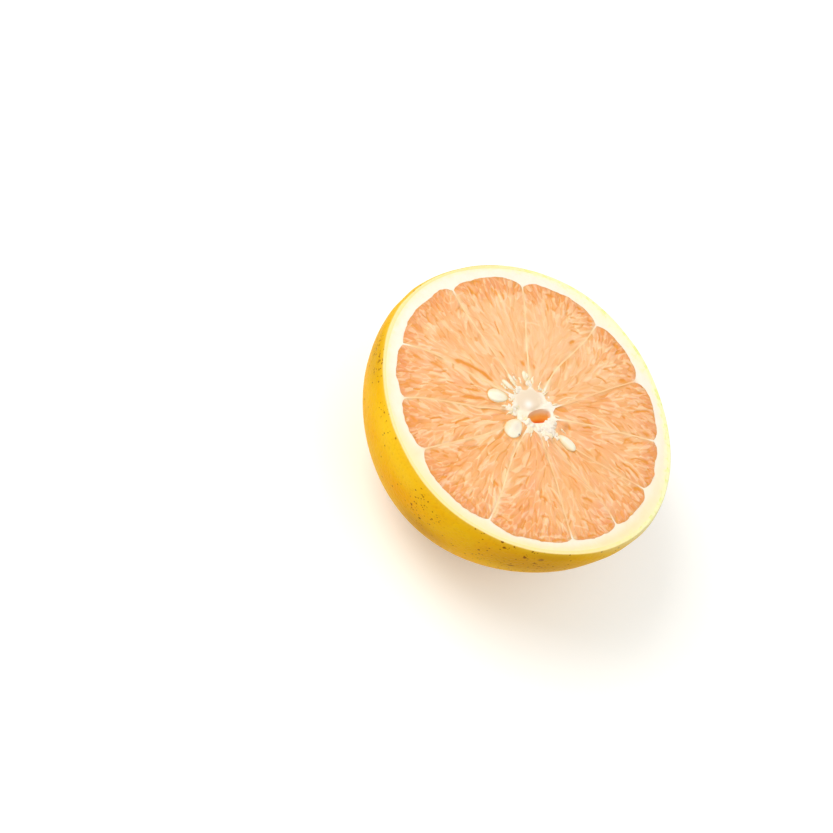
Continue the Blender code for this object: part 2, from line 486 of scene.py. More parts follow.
        from_angle, to_angle = (math.degrees(math.atan2(*(side[-1] - pulp)[::-1])) for side in sides)
        sweep = (to_angle - from_angle) % 360
        share = np.linspace(0, 1, across + 1)
        rays = heading(from_angle + sweep * share)
        reach_in = mix(membrane.notch, follower.notch, share) * np.abs(2 * share - 1) ** self.ridge_power
        reach_in = reach_in - self.swell(from_angle + sweep * share)
        wall = radius - clearance - reach_in * radius / self.pulp_radius
        uneven = 0.45 * Waviness(42, 4.5).at(50 * rays[:, 0], 50 * rays[:, 1], 0.1 * radius)
        uneven += 0.22 * Waviness(43, 1.5).at(50 * rays[:, 0], 50 * rays[:, 1], 0.1 * radius)
        wall += uneven * (1 - np.abs(2 * share - 1) ** 4)
        outer = pulp + rays * wall[:, None]
        outer[0], outer[-1] = low_side[-1], high_side[-1]

        inner = mix(low_side[0], high_side[0], share[:, None])
        middle = inner.mean(axis=0) - core
        bulge = middle / np.linalg.norm(middle) * self.tip
        inner = inner - bulge * (1 - np.abs(2 * share - 1) ** 1.4)[:, None]
        return low_side, outer, high_side, inner

    def loop(self, number: int, radius: float, clearance: float, along: int, across: int) -> Array:
        """Return the same outline as one closed loop of points, turning to larger angles outside."""
        low_side, outer, high_side, inner = self.outline(number, radius, clearance, along, across)
        return np.concatenate([low_side[:-1], outer[:-1], high_side[:0:-1], inner[:0:-1]])

    def levels(self) -> list[Pair]:
        """Return the depth below the cut and the pulp's radius, from just under the cut to the floor."""
        power = 2 / self.pocket_fullness
        lowest = math.acos((self.pocket_floor_radius / self.pulp_radius) ** (1 / power))
        turns = [lowest * step / self.pocket_levels for step in range(1, self.pocket_levels + 1)]
        deepest, widest = self.pocket_depth, self.pulp_radius
        return [(deepest * math.sin(turn) ** power, widest * math.cos(turn) ** power) for turn in turns]

    def rings(self, number: int, lip: float, clearance: float, steps: tuple[int, int]) -> list[Array]:
        """Return rings of places down a pocket.

        Args:
            number: which segment's pocket.
            lip: the depth of the first ring.
            clearance: how far inside the pocket the rings lie.
            steps: the steps along each side and across each end, a quarter of those at the cut.

        Returns:
            The places of each ring, from the first to the one at the floor.
        """
        rings = []
        for depth, radius in [(lip, self.pulp_radius), *self.levels()]:
            loop = self.loop(number, radius, clearance, *steps)
            rings.append(np.column_stack([loop, np.full(len(loop), self.form.cut - depth)]))
        return rings


CHANCE_MIX = (12.9898, 78.233, 437.585)


class Surface(Enum):
    """How a juice sac shows on the cut."""

    FLUSH = 0
    PROUD = 1
    SUNKEN = 2


@dataclass
class SacField:
    """The juice sacs of one segment: teardrops that run inwards from the pith and the membranes."""

    centres: Array
    ways: Array
    lengths: Array
    widths: Array
    levels: Array
    tilts: Array
    domes: Array
    tones: Array
    # painted shade: how much deeper each sac's lower side is coloured
    painted_shades: Array
    bends: Array
    blend: float = 6.0
    taper: float = 0.45
    skin_width: float = 0.24
    skin_depth: float = 0.015
    groove_width: float = 0.42
    groove_depth: float = 0.08
    open_from: float = 0.80
    open_fully: float = 0.92

    def relief(self, x: Array, y: Array) -> Masks:
        """Return the sacs' relief at each place.

        Args:
            x, y: the places on the cut.

        Returns:
            height, wall (1 on the skin between two sacs), gap (1 in an open groove), tone (0 pale to
            1 deep, with painted shade on each sac's lower side), and along and across (the place on the
            nearest sac, shifted for each).
        """
        results = [self._relief(part_x, part_y) for part_x, part_y in zip(self._parts(x), self._parts(y))]
        return {label: np.concatenate([result[label] for result in results]) for label in results[0]}

    @staticmethod
    def _parts(values: Array) -> list[Array]:
        """Return the values in parts small enough to compare with every sac."""
        return np.array_split(values, max(1, len(values) // 4000))

    def _relief(self, x: Array, y: Array) -> Masks:
        """Return the relief for one part of the places."""
        dx = x[:, None] - self.centres[None, :, 0]
        dy = y[:, None] - self.centres[None, :, 1]
        along = dx * self.ways[:, 0] + dy * self.ways[:, 1]
        across = dy * self.ways[:, 0] - dx * self.ways[:, 1]
        across = across + self.bends * along**2
        share = np.clip(along / self.lengths, -0.5, 0.5)
        half = 0.5 * self.widths * (1 - self.taper * share)
        out = np.sqrt((2 * along / self.lengths) ** 2 + (across / half) ** 2)

        rows = np.arange(len(x))
        nearest = np.argmin(out, axis=1)
        first = out[rows, nearest]
        other = out.copy()
        other[rows, nearest] = np.inf
        second_sac = np.argmin(other, axis=1)
        second = other[rows, second_sac]
        border = (second - first) * 0.25 * (self.widths[nearest] + self.widths[second_sac])

        weight = np.exp(-self.blend * (out - first[:, None]))
        weight /= weight.sum(axis=1, keepdims=True)
        bulge = 1 - np.clip(out, 0, 1.3) ** 2
        lean = np.clip(across / half, -1.2, 1.2)
        height = (weight * (self.levels + self.tilts * lean + self.domes * bulge)).sum(axis=1)
        # painted shade: each tilted sac is coloured deeper on its lower side, where shade falls
        shaded_lower_side = ease(0.1, 1.05, -lean * np.sign(self.tilts))
        tone = (weight * (self.tones + self.painted_shades * shaded_lower_side)).sum(axis=1)

        low, high = np.minimum(nearest, second_sac), np.maximum(nearest, second_sac)
        chance = np.modf(np.abs(np.sin(low * CHANCE_MIX[0] + high * CHANCE_MIX[1])) * CHANCE_MIX[2])[0]
        line = np.exp(-((border / self.skin_width) ** 2))
        gap = ease(self.open_from, self.open_fully, chance) * np.exp(-((border / self.groove_width) ** 2))
        return {
            "height": height - self.skin_depth * line - self.groove_depth * gap,
            "wall": line * ease(0.7, 0.1, chance),
            "gap": gap,
            "tone": tone,
            "along": along[rows, nearest] + 17.0 * (nearest % 13),
            "across": across[rows, nearest] + 3.1 * nearest,
        }


@dataclass(frozen=True)
class Stroke:
    """A long groove or ridge in the pulp, from one place to another, with its width and strength."""

    x: float
    y: float
    end_x: float
    end_y: float
    width: float
    strength: float

    def share(self, x: Array, y: Array) -> Array:
        """Return the strength at each place: a slightly bowed stroke with pointed ends."""
        length = math.hypot(self.end_x - self.x, self.end_y - self.y)
        way = ((self.end_x - self.x) / length, (self.end_y - self.y) / length)
        along, across = seen_from((self.x, self.y), way, x, y)
        soft = min(2.5 * self.width, 0.4 * length)
        fade = ease(-self.width, soft, along) * ease(-self.width, soft, length - along)
        bow = 0.07 * length * (1 - (2 * along / length - 1) ** 2)
        half = self.width * (0.4 + 0.7 * fade)
        return self.strength * fade * np.exp(-(((across - bow) / half) ** 2))


def strongest(strokes: tuple[Stroke, ...], x: Array, y: Array) -> Array:
    """Return the share of the strongest stroke at each place."""
    return np.max([stroke.share(x, y) for stroke in strokes], axis=0)


# Long grooves sunk into the pulp; their deep orange colour is painted shade.
GROOVES = tuple(
    Stroke(*numbers)
    for numbers in (
        (-27.5, -10.5, -13.0, -4.8, 0.8, 0.9), (-32.0, -18.2, -22.5, -15.7, 0.5, 0.6),
        (-39.0, -21.5, -32.5, -19.7, 0.9, 0.6), (-37.0, -15.2, -35.3, -12.8, 0.6, 0.5),
        (-18.0, -15.5, -14.0, -11.5, 0.4, 0.7), (-16.8, -19.0, -10.2, -11.6, 0.8, 0.8),
        (-21.8, -23.6, -21.0, -21.5, 0.5, 0.5), (-9.6, -16.5, -6.0, -11.0, 0.4, 0.8),
        (-11.8, -28.0, -10.0, -21.5, 0.4, 0.9), (-18.5, -34.0, -15.5, -29.5, 0.35, 0.8),
        (-23.5, -38.2, -20.5, -38.0, 0.7, 0.8), (-25.0, -36.0, -20.0, -33.0, 1.1, 0.4),
        (-11.5, -42.0, -8.0, -39.5, 0.5, 0.8), (-7.5, -39.6, -5.0, -38.0, 0.6, 0.7),
        (-6.0, -33.6, -3.0, -32.4, 0.4, 0.7), (-5.5, -35.5, -2.0, -36.0, 0.5, 0.6),
        (-43.5, -6.3, -40.5, -7.6, 0.5, 0.5), (-31.6, -28.6, -29.5, -27.4, 0.35, 0.6),
        (-27.0, -24.0, -25.8, -22.0, 0.3, 0.6), (-18.0, -27.9, -16.0, -27.3, 0.4, 0.6),
        (-4.6, -21.0, -3.4, -16.5, 0.35, 0.6), (-7.6, -28.6, -6.4, -25.0, 0.35, 0.6),
        (7.1, -17.5, 8.1, -20.2, 0.35, 0.7), (8.0, -25.0, 9.4, -25.2, 0.4, 0.8),
        (9.0, -32.0, 11.6, -32.2, 0.55, 0.8), (13.2, -24.6, 16.0, -21.0, 0.4, 0.6),
        (13.3, -20.0, 14.5, -18.0, 0.4, 0.5), (22.0, -23.2, 26.0, -21.8, 0.7, 0.7),
        (26.5, -28.5, 29.0, -26.2, 0.5, 0.7), (29.5, -34.2, 32.0, -31.4, 0.35, 0.5),
        (34.6, -31.6, 37.6, -27.2, 0.5, 0.8), (31.4, -35.2, 34.4, -32.2, 0.45, 0.7),
        (37.8, -26.8, 38.4, -24.8, 0.5, 0.6), (39.6, -23.4, 41.4, -21.0, 0.4, 0.6),
        (41.4, -20.6, 43.4, -17.4, 0.4, 0.8), (36.0, -17.6, 41.0, -15.0, 0.35, 0.6),
        (31.5, -11.1, 36.0, -8.8, 0.6, 0.8), (44.5, -12.0, 45.0, -9.2, 0.6, 0.8),
        (33.0, -6.3, 38.0, -5.6, 0.4, 0.6), (23.5, -9.0, 28.0, -8.6, 0.3, 0.6),
        (13.4, -9.6, 15.0, -13.6, 0.45, 0.7), (15.8, -9.0, 17.6, -11.6, 0.45, 0.6),
        (16.0, -3.0, 21.0, -3.8, 0.5, 0.7), (16.5, -40.2, 22.0, -38.2, 0.45, 0.6),
        (16.0, -37.2, 18.6, -34.8, 0.5, 0.5), (4.0, -45.0, 13.0, -44.0, 0.5, 0.6),
        (-42.5, 17.0, -40.5, 20.3, 0.5, 0.7), (-43.2, 15.0, -38.5, 13.9, 0.5, 0.9),
        (-40.6, 11.5, -38.4, 10.8, 0.5, 0.5), (-33.0, 24.0, -30.9, 21.9, 0.35, 0.9),
        (-28.0, 13.0, -23.4, 10.1, 0.25, 0.8), (-23.6, 37.2, -20.6, 39.6, 0.6, 0.9),
        (-19.0, 36.0, -18.5, 34.0, 0.5, 0.5), (-14.2, 44.0, -11.5, 43.8, 0.6, 0.9),
        (-12.2, 41.4, -9.8, 44.2, 0.35, 0.8), (-7.6, 42.4, -6.0, 44.5, 0.5, 0.9),
        (-12.5, 37.9, -10.5, 40.0, 0.3, 0.7), (-11.6, 36.0, -8.0, 38.6, 0.3, 0.7),
        (-9.6, 34.0, -6.2, 35.9, 0.4, 0.8), (-5.9, 29.4, -5.1, 33.0, 0.7, 0.9),
        (-19.6, 21.0, -17.0, 19.9, 0.4, 0.5), (-8.8, 12.4, -8.0, 10.8, 0.5, 0.7),
        (-12.5, 8.8, -10.2, 9.6, 0.8, 0.8), (-31.5, 8.0, -27.5, 6.8, 0.35, 0.7),
        (-38.5, 5.5, -34.5, 6.5, 0.7, 0.6), (-20.0, 6.0, -16.5, 5.0, 0.4, 0.7),
        (-3.0, 17.0, -2.4, 11.0, 0.5, 0.7), (3.5, 44.0, 7.0, 44.4, 0.8, 0.9),
        (11.4, 42.0, 13.5, 43.5, 0.5, 0.9), (15.0, 38.8, 16.2, 40.0, 0.5, 0.9),
        (13.5, 34.5, 15.8, 36.6, 0.7, 0.9), (7.5, 32.5, 10.0, 35.0, 0.5, 0.7),
        (7.4, 28.4, 12.0, 30.0, 0.4, 0.8), (17.2, 34.0, 18.8, 36.2, 0.45, 0.9),
        (21.0, 36.4, 23.0, 38.6, 0.45, 0.9), (22.0, 33.2, 24.6, 33.0, 0.3, 0.7),
        (24.4, 28.8, 29.0, 35.0, 0.5, 0.9), (22.8, 24.4, 24.3, 25.0, 0.6, 0.8),
        (28.4, 22.0, 32.5, 24.1, 0.5, 0.9), (30.6, 25.6, 34.2, 27.6, 0.8, 0.8),
        (28.0, 18.0, 31.5, 20.4, 0.9, 0.6), (31.5, 20.0, 34.0, 22.8, 0.35, 0.7),
        (34.5, 14.4, 39.5, 19.5, 0.35, 0.8), (33.5, 11.2, 41.5, 11.6, 0.4, 0.8),
        (35.0, 9.9, 38.5, 9.8, 0.45, 0.8), (33.0, 8.2, 35.5, 8.8, 0.35, 0.8),
        (41.5, 6.4, 44.6, 9.0, 0.6, 0.9), (42.0, 13.0, 43.4, 15.6, 0.5, 0.8),
        (25.0, 12.4, 28.0, 13.8, 0.3, 0.8), (16.2, 8.4, 18.9, 11.8, 0.5, 0.9),
        (18.6, 12.6, 22.0, 16.0, 0.6, 0.6), (12.2, 20.0, 13.5, 16.8, 0.7, 0.5),
        (8.0, 17.0, 12.0, 24.0, 0.5, 0.5), (3.2, 8.8, 6.6, 14.4, 0.6, 0.6),
        (12.0, 5.6, 14.4, 4.4, 0.6, 0.8),
    )
)
RIDGES = tuple(
    Stroke(*numbers)
    for numbers in (
        (-17.6, -12.4, -12.5, -9.0, 0.22, 0.8), (-25.0, -20.5, -22.0, -16.5, 0.22, 0.6),
        (-12.9, -28.2, -10.8, -24.0, 0.18, 1.0), (-12.0, -30.2, -10.4, -27.0, 0.2, 0.9),
        (-9.1, -22.4, -8.0, -18.0, 0.18, 0.6), (-11.0, -39.5, -8.8, -36.0, 0.22, 0.8),
        (-8.2, -14.6, -6.2, -11.4, 0.18, 0.8), (-34.5, -15.6, -33.4, -12.4, 0.3, 0.6),
        (16.8, -30.0, 18.6, -24.6, 0.14, 0.9), (17.5, -19.8, 18.2, -24.2, 0.14, 0.7),
        (31.0, -34.2, 36.5, -28.2, 0.22, 0.9), (36.4, -21.0, 40.0, -18.4, 0.22, 0.7),
        (20.5, -28.2, 21.0, -24.4, 0.14, 0.6), (-12.3, 37.0, -8.8, 42.6, 0.15, 0.9),
        (-11.0, 36.4, -7.0, 41.6, 0.15, 0.9), (-10.0, 33.2, -6.0, 36.8, 0.15, 0.7),
        (-24.2, 24.6, -20.0, 22.2, 0.35, 0.6), (-20.9, 21.7, -17.0, 25.6, 0.35, 0.6),
        (-22.2, 20.4, -21.0, 22.6, 0.25, 0.5), (-33.2, 24.2, -31.4, 22.7, 0.15, 0.9),
        (-31.8, 7.0, -29.8, 5.6, 0.45, 0.7), (-10.2, 11.2, -8.4, 8.4, 0.2, 0.7),
        (5.0, 9.0, 8.5, 15.6, 0.2, 0.9), (7.2, 11.0, 9.2, 16.2, 0.15, 0.7),
        (10.0, 9.4, 12.8, 14.2, 0.15, 0.7), (12.0, 8.4, 15.6, 12.6, 0.18, 0.7),
        (21.0, 30.0, 25.0, 34.6, 0.22, 0.6), (21.0, 11.4, 24.0, 15.6, 0.25, 0.6),
        (33.0, 7.4, 38.0, 8.9, 0.22, 0.7), (33.6, 12.4, 41.0, 13.0, 0.2, 0.8),
        (9.4, 43.6, 10.6, 42.0, 0.2, 0.7),
    )
)
# Brown marks: brown bits of membrane and stains, and painted shade beside and below seed_2.
BROWN_AND_SHADE_MARKS = tuple(
    Stroke(*numbers)
    for numbers in (
        (11.9, 5.6, 13.2, 2.0, 0.9, 1.0), (11.2, 1.8, 13.0, 0.9, 0.6, 0.7),
        (-12.2, -0.3, -7.4, -0.1, 0.5, 0.8), (-11.6, 3.0, -8.4, 2.6, 0.5, 0.5),
        (-6.5, 3.2, -5.9, 3.6, 0.8, 0.8), (-5.4, -10.2, -4.0, -9.2, 0.9, 0.9),
        (1.4, 6.6, 0.8, 8.6, 0.7, 0.7), (-3.2, 7.8, -2.4, 9.4, 0.6, 0.5),
        (13.4, -3.0, 12.4, -5.2, 0.7, 0.7), (8.5, -5.8, 9.9, -6.8, 1.1, 0.5),
        (12.3, -7.2, 15.7, -12.0, 0.4, 0.6), (-9.5, -13.0, -5.8, -8.4, 0.45, 0.6),
        (12.6, -1.6, 19.6, -2.2, 0.4, 0.6), (-1.0, -14.4, 3.4, -15.0, 0.5, 0.5),
        (-1.8, -14.2, -1.7, -12.2, 0.3, 0.8), (2.0, -16.5, 3.6, -16.8, 0.6, 0.6),
        (5.0, -15.0, 5.6, -15.9, 0.35, 0.6), (4.5, -11.4, 4.6, -12.6, 0.35, 0.8),
    )
)


@dataclass(frozen=True)
class SegmentLook:
    """How one segment differs from the others.

    Args:
        flush: how much of it is cut smooth, from 0 to 1.
        blush: how pink it is, from 0 to 1.
        skew: how far its sacs turn from the line to the core.
        light: how pale it is, from 0 to 1.
    """

    flush: float
    blush: float
    skew: float
    light: float = 0.0


@dataclass(frozen=True)
class Pulp:
    """The twelve segments of pulp."""

    layout: CutLayout
    seeds: tuple[SeedSize, ...]
    looks: tuple[SegmentLook, ...] = (
        SegmentLook(0.30, 0.50, 6, 0.12),
        SegmentLook(0.25, 0.45, -8, 0.12),
        SegmentLook(0.50, 0.25, 10, 0.7),
        SegmentLook(0.85, 0.15, -4, 0.8),
        SegmentLook(0.80, 0.15, 8, 0.7),
        SegmentLook(0.50, 0.35, -10, 0.4),
        SegmentLook(0.20, 0.50, 6),
        SegmentLook(0.25, 0.55, -6),
        SegmentLook(0.30, 0.60, 4),
        SegmentLook(0.40, 0.55, -12),
        SegmentLook(0.60, 0.70, 8),
        SegmentLook(0.45, 0.55, -4),
    )
    step: float = 0.21
    slant: float = 34.0
    sac_length: Pair = (8.0, 4.2)
    sac_width: Pair = (2.3, 1.6)
    first_row: float = 1.02
    last_row: float = -0.04
    row_step: float = 0.58
    scatter: float = 0.3
    edge_depth: float = 0.02
    edge_width: float = 0.8
    lip: float = 0.9
    play: float = 0.15
    bottom_lift: float = 0.3
    highest: float = 0.32

    def counts(self, number: int) -> tuple[int, int]:
        """Return the steps along and across a segment's surface, both in fours."""
        low_side, outer, _, _ = self.layout.outline(number, self.layout.pulp_radius, 0.0, 8, 8)
        lengths = [np.linalg.norm(np.diff(path, axis=0), axis=1).sum() for path in (low_side, outer)]
        return tuple(4 * round(length / self.step / 4) for length in lengths)

    def patch(self, number: int, clearance: float) -> tuple[Array, Array, Array]:
        """Return a grid of places over a segment's cut face.

        Args:
            number: which segment.
            clearance: how far inside its pocket the grid ends.

        Returns:
            The places, and how far out and how far across each is, from 0 to 1.
        """
        along, across = self.counts(number)
        radius = self.layout.pulp_radius
        low_side, outer, high_side, inner = self.layout.outline(number, radius, clearance, along, across)
        out = np.linspace(0, 1, along + 1)[:, None, None]
        over = np.linspace(0, 1, across + 1)[None, :, None]
        ruled = (1 - over) * low_side[:, None] + over * high_side[:, None]
        ruled = ruled + (1 - out) * inner[None] + out * outer[None]
        ruled = ruled - (1 - out) * ((1 - over) * inner[0] + over * inner[-1])
        ruled = ruled - out * ((1 - over) * outer[0] + over * outer[-1])
        shape = ruled.shape[:2]
        return ruled, np.broadcast_to(out[..., 0], shape), np.broadcast_to(over[..., 0], shape)

    def sacs(self, number: int) -> SacField:
        """Grow the sacs of one segment, in rows that thin out towards the core."""
        random = np.random.default_rng(500 + number)
        look = self.looks[number]
        grid, _, _ = self.patch(number, 0.0)
        along, across = grid.shape[0] - 1, grid.shape[1] - 1
        side = np.linalg.norm(np.diff(grid[:, across // 2], axis=0), axis=1).sum()
        core = np.array(self.layout.core_centre)
        found = []
        place = self.first_row
        while place > self.last_row:
            length = mix(*self.sac_length, ease(0.3, 0.95, place))
            width = mix(*self.sac_width, ease(0.2, 0.95, place))
            row = grid[min(along, max(0, round(place * along)))]
            span = np.linalg.norm(row[-1] - row[0])
            count = max(3, round(span / width))
            for index in range(count):
                share = (index + 0.5 + random.uniform(-self.scatter, self.scatter)) / count
                out = place + random.uniform(-self.scatter, self.scatter) * length / side
                found.append(self._sac(grid, share, out, core, look, length, width, random))
            place -= self.row_step * length / side
        columns = [np.array(values) for values in zip(*found)]
        return SacField(*columns)

    def _sac(
        self,
        grid: Array,
        share: float,
        out: float,
        core: Array,
        look: SegmentLook,
        length: float,
        width: float,
        random: np.random.Generator,
    ) -> tuple:
        """Return one sac: its middle, way, size, level, tilt, dome, tone, painted shade and bend."""
        along, across = grid.shape[0] - 1, grid.shape[1] - 1
        row, column = np.clip([round(out * along), round(share * across)], 0, [along, across])
        spot = grid[row, column]
        inwards = (core - spot) / np.linalg.norm(core - spot)
        sideways = 2 * share - 1
        lean = self.slant * ease(0.05, 0.7, out) * sideways * abs(sideways) ** 0.4
        swirl = 16 * Waviness(60, 9.0).at(spot[0], spot[1])
        turn = math.radians(lean + look.skew + float(swirl) + random.normal(0, 6))
        way = np.array(turned(*inwards, turn))
        smooth = look.flush * ease(1.0, 0.6, out)
        odds = np.array([0.45 + 0.5 * smooth, 0.42 - 0.30 * smooth, 0.13 - 0.15 * smooth])
        odds = np.clip(odds, 0.015, None)
        kind = Surface(int(random.choice(3, p=odds / odds.sum())))
        relief = 1 - 0.6 * smooth
        # shade sets the painted shade on the sac's lower side
        if kind is Surface.FLUSH:
            level, tilt, dome = random.uniform(-0.03, 0.04), random.uniform(0.02, 0.06), 0.03
            tone, shade = random.uniform(0.05, 0.25), random.uniform(0.0, 0.25)
        elif kind is Surface.PROUD:
            level, tilt, dome = random.uniform(-0.05, 0.07), random.uniform(0.08, 0.18), 0.07
            tone, shade = random.uniform(0.08, 0.30), random.uniform(0.35, 0.85)
        else:
            level, tilt, dome = random.uniform(-0.28, -0.14), 0.05, 0.02
            tone, shade = random.uniform(0.6, 0.95), 0.1
            width, length = width * 0.45, length * 0.7
        hand = 1 if random.uniform() < 0.72 else -1
        length, width = length * random.uniform(0.7, 1.25), width * random.uniform(0.75, 1.25)
        level, tilt, dome = level * relief, tilt * hand * relief, dome * relief
        shade, bend = shade * (1 - 0.3 * smooth), random.uniform(-0.05, 0.05)
        return spot, way, length, width, level, tilt, dome, tone, shade, bend

    def build(self, number: int, finish: "PulpFinish") -> bpy.types.Object:
        """Make one segment.

        Args:
            number: which segment.
            finish: its finish.

        Returns:
            The piece, closed on all sides.
        """
        grid, out, over = self.patch(number, -TUCK)
        x, y = grid[..., 0].ravel(), grid[..., 1].ravel()
        sacs = self.sacs(number).relief(x, y)
        out, over = out.ravel(), over.ravel()
        rows, columns = grid.shape[:2]
        span = np.linalg.norm(grid[:, -1] - grid[:, 0], axis=1)[:, None] * np.ones(columns)
        side = np.linalg.norm(np.diff(grid[:, columns // 2], axis=0), axis=1).sum()
        edge = np.minimum(np.minimum(over, 1 - over) * span.ravel(), np.minimum(1 - out, out) * side)

        inside = ease(0.0, self.edge_width, edge)
        look = self.looks[number]
        busy = 1 - 0.75 * look.flush * ease(1.0, 0.6, out)
        swell = 0.16 * Waviness(61, 7.0).at(x, y) + 0.06 * Waviness(62, 2.6).at(x, y)
        thread = 0.03 * Waviness(63, 1.0).at(sacs["along"] / 3.2, sacs["across"] / 0.5)
        drift = 0.5 * Waviness(56, 4.0).at(x, y)
        furrow = Waviness(57, 1.0).at(sacs["along"] / 6.0, sacs["across"] / 1.1 + drift)
        calm = ease(0.85, 0.35, busy)
        relief = (1 - 0.5 * calm) * sacs["height"] + swell + thread + 0.10 * busy * furrow
        height = (0.15 + 0.85 * inside) * relief - self.edge_depth * (1 - inside)
        bent_x = x + 0.35 * Waviness(68, 2.6).at(x, y) + 0.15 * Waviness(53, 0.9).at(x, y)
        bent_y = y + 0.35 * Waviness(69, 2.6).at(x, y) + 0.15 * Waviness(54, 0.9).at(x, y)
        groove, ridge = strongest(GROOVES, bent_x, bent_y), strongest(RIDGES, bent_x, bent_y)
        # a band on the side of each groove that the light falls on: raised a little, and coloured pale below
        # as a painted highlight
        lit_groove_edge = 0.8 * strongest(GROOVES, bent_x + 0.15, bent_y - 0.85) * (1 - groove)
        height = height * (1 - 0.6 * groove) - 0.22 * groove + 0.07 * ridge + 0.05 * lit_groove_edge
        height = np.minimum(height, self.highest)
        for seed in self.seeds:
            height = np.minimum(height, seed.socket(x, y))

        cut = self.layout.form.cut
        shell = Shell()
        top = shell.add(np.stack([x, y, cut + height], -1)).reshape(rows, columns)
        for lower, upper in zip(top, top[1:]):
            shell.strip(lower, upper, closed=False)
        self._close(shell, number, top)

        ring = ease(0.78, 0.99, out + 0.07 * Waviness(64, 3.0).at(x, y))
        streak = Waviness(65, 1.0).at(sacs["along"] / 4.0, sacs["across"] / 0.55)
        marks = ease(0.30, 0.65, streak) * busy
        # painted highlight: pale on the furrows' crests and on the lit side of each groove
        crest = np.maximum(ease(0.22, 0.65, furrow) * (0.9 - 0.75 * calm), lit_groove_edge)
        beside = np.minimum(over, 1 - over) * span.ravel()
        membranes = self.layout.membranes
        shows = (membranes[number].show, membranes[(number + 1) % len(membranes)].show)
        veil = np.exp(-((beside / 0.9) ** 2)) * np.where(over < 0.5, *shows)
        veil = veil + 0.6 * np.exp(-out * side / 0.9)
        # painted shade where the flesh parts from the seeds, on their side away from the core
        parting_shade = 0.75 * np.max([seed.parting_shade(x, y) for seed in self.seeds], axis=0)
        # painted shade: open grooves between sacs, the long grooves and the partings by the seeds are
        # coloured deep orange
        gaps = [0.7 * sacs["gap"] * (1 - 0.6 * calm), ease(0.25, 0.9, groove), parting_shade]
        masks = {
            "wall": sacs["wall"] * (0.35 + 0.65 * inside) * (1 - groove) * (1 - 0.5 * calm),
            "gap": np.max(gaps, axis=0),
            # tone: the sacs' own depth of colour, with painted shade on their lower sides, in the furrows'
            # low places and in the long grooves
            "tone": np.clip(self._tone(sacs["tone"], marks, furrow, busy, calm) + 0.6 * groove, 0, 1.1),
            "ring": ring,
            "blush": look.blush + 0.75 * Waviness(66, 8.0).at(x, y) + 0.45 * Waviness(59, 3.5).at(x, y),
            "sun": ease(0.1, 0.8, Waviness(58, 6.0).at(x, y)) * (1 - ring),
            "light": look.light * (1 - ring) * ease(0.2, 2.8, beside),
            # painted highlight on crests and beside grooves
            "crest": crest * (1 - groove),
            # brown marks, partly stains and partly painted shade by seed_2
            "brown": strongest(BROWN_AND_SHADE_MARKS, x, y),
            # painted shade: a deeper band along the pulp's outer edge, next to the pith
            "hem_shade": np.exp(-((1 - out) * side) / 0.5) * inside.clip(0.5, 1),
            "veil": np.maximum(veil * ease(-0.6, 0.5, Waviness(67, 3.0).at(x, y)), ridge).clip(0, 1),
            "grain": np.stack([sacs["along"], sacs["across"], np.full(len(x), 5.0 * number)], -1),
        }
        piece = shell.build(f"pulp_{number + 1:02d}", masks)
        piece.data.materials.append(finish.material())
        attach(piece, BODY)
        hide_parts(f"segment_{number + 1:02d}")
        return piece

    @staticmethod
    def _tone(
        own: Array, marks: Array, furrow: Array, busy: Array, calm: Array
    ) -> Array:
        """Return how deep the colour is, evened out where the flesh is calm, deeper in the furrows' low
        places and paler on their crests as painted shade and light.
        """
        return mix(0.9 * own, 0.22, 0.55 * calm) + 0.25 * marks - 0.45 * busy * furrow

    def _close(self, shell: Shell, number: int, top: Array) -> None:
        """Close a segment below its cut face, inside its pocket."""
        fine = np.concatenate([top[:-1, 0], top[-1, :-1], top[:0:-1, -1], top[0, :0:-1]])
        steps = tuple((count - 1) // 4 for count in top.shape)
        rings = self.layout.rings(number, self.lip, self.play, steps)
        rings[-1][:, 2] += self.bottom_lift
        shell.hang(fine, rings, rings[-1].mean(axis=0))


@dataclass(frozen=True)
class Lump:
    """A swelling of the white tissue: its middle, half length and width, heading, height and crumb."""

    middle: Pair
    half_length: float
    half_width: float
    heading: float
    height: float
    crumb: float

    def share(self, x: Array, y: Array) -> Array:
        """Return 1 at the middle of the lump, falling smoothly to 0 at its outline."""
        along, across = seen_from(self.middle, heading(self.heading), x, y)
        return np.clip(1 - (along / self.half_length) ** 2 - (across / self.half_width) ** 2, 0, 1) ** 0.6


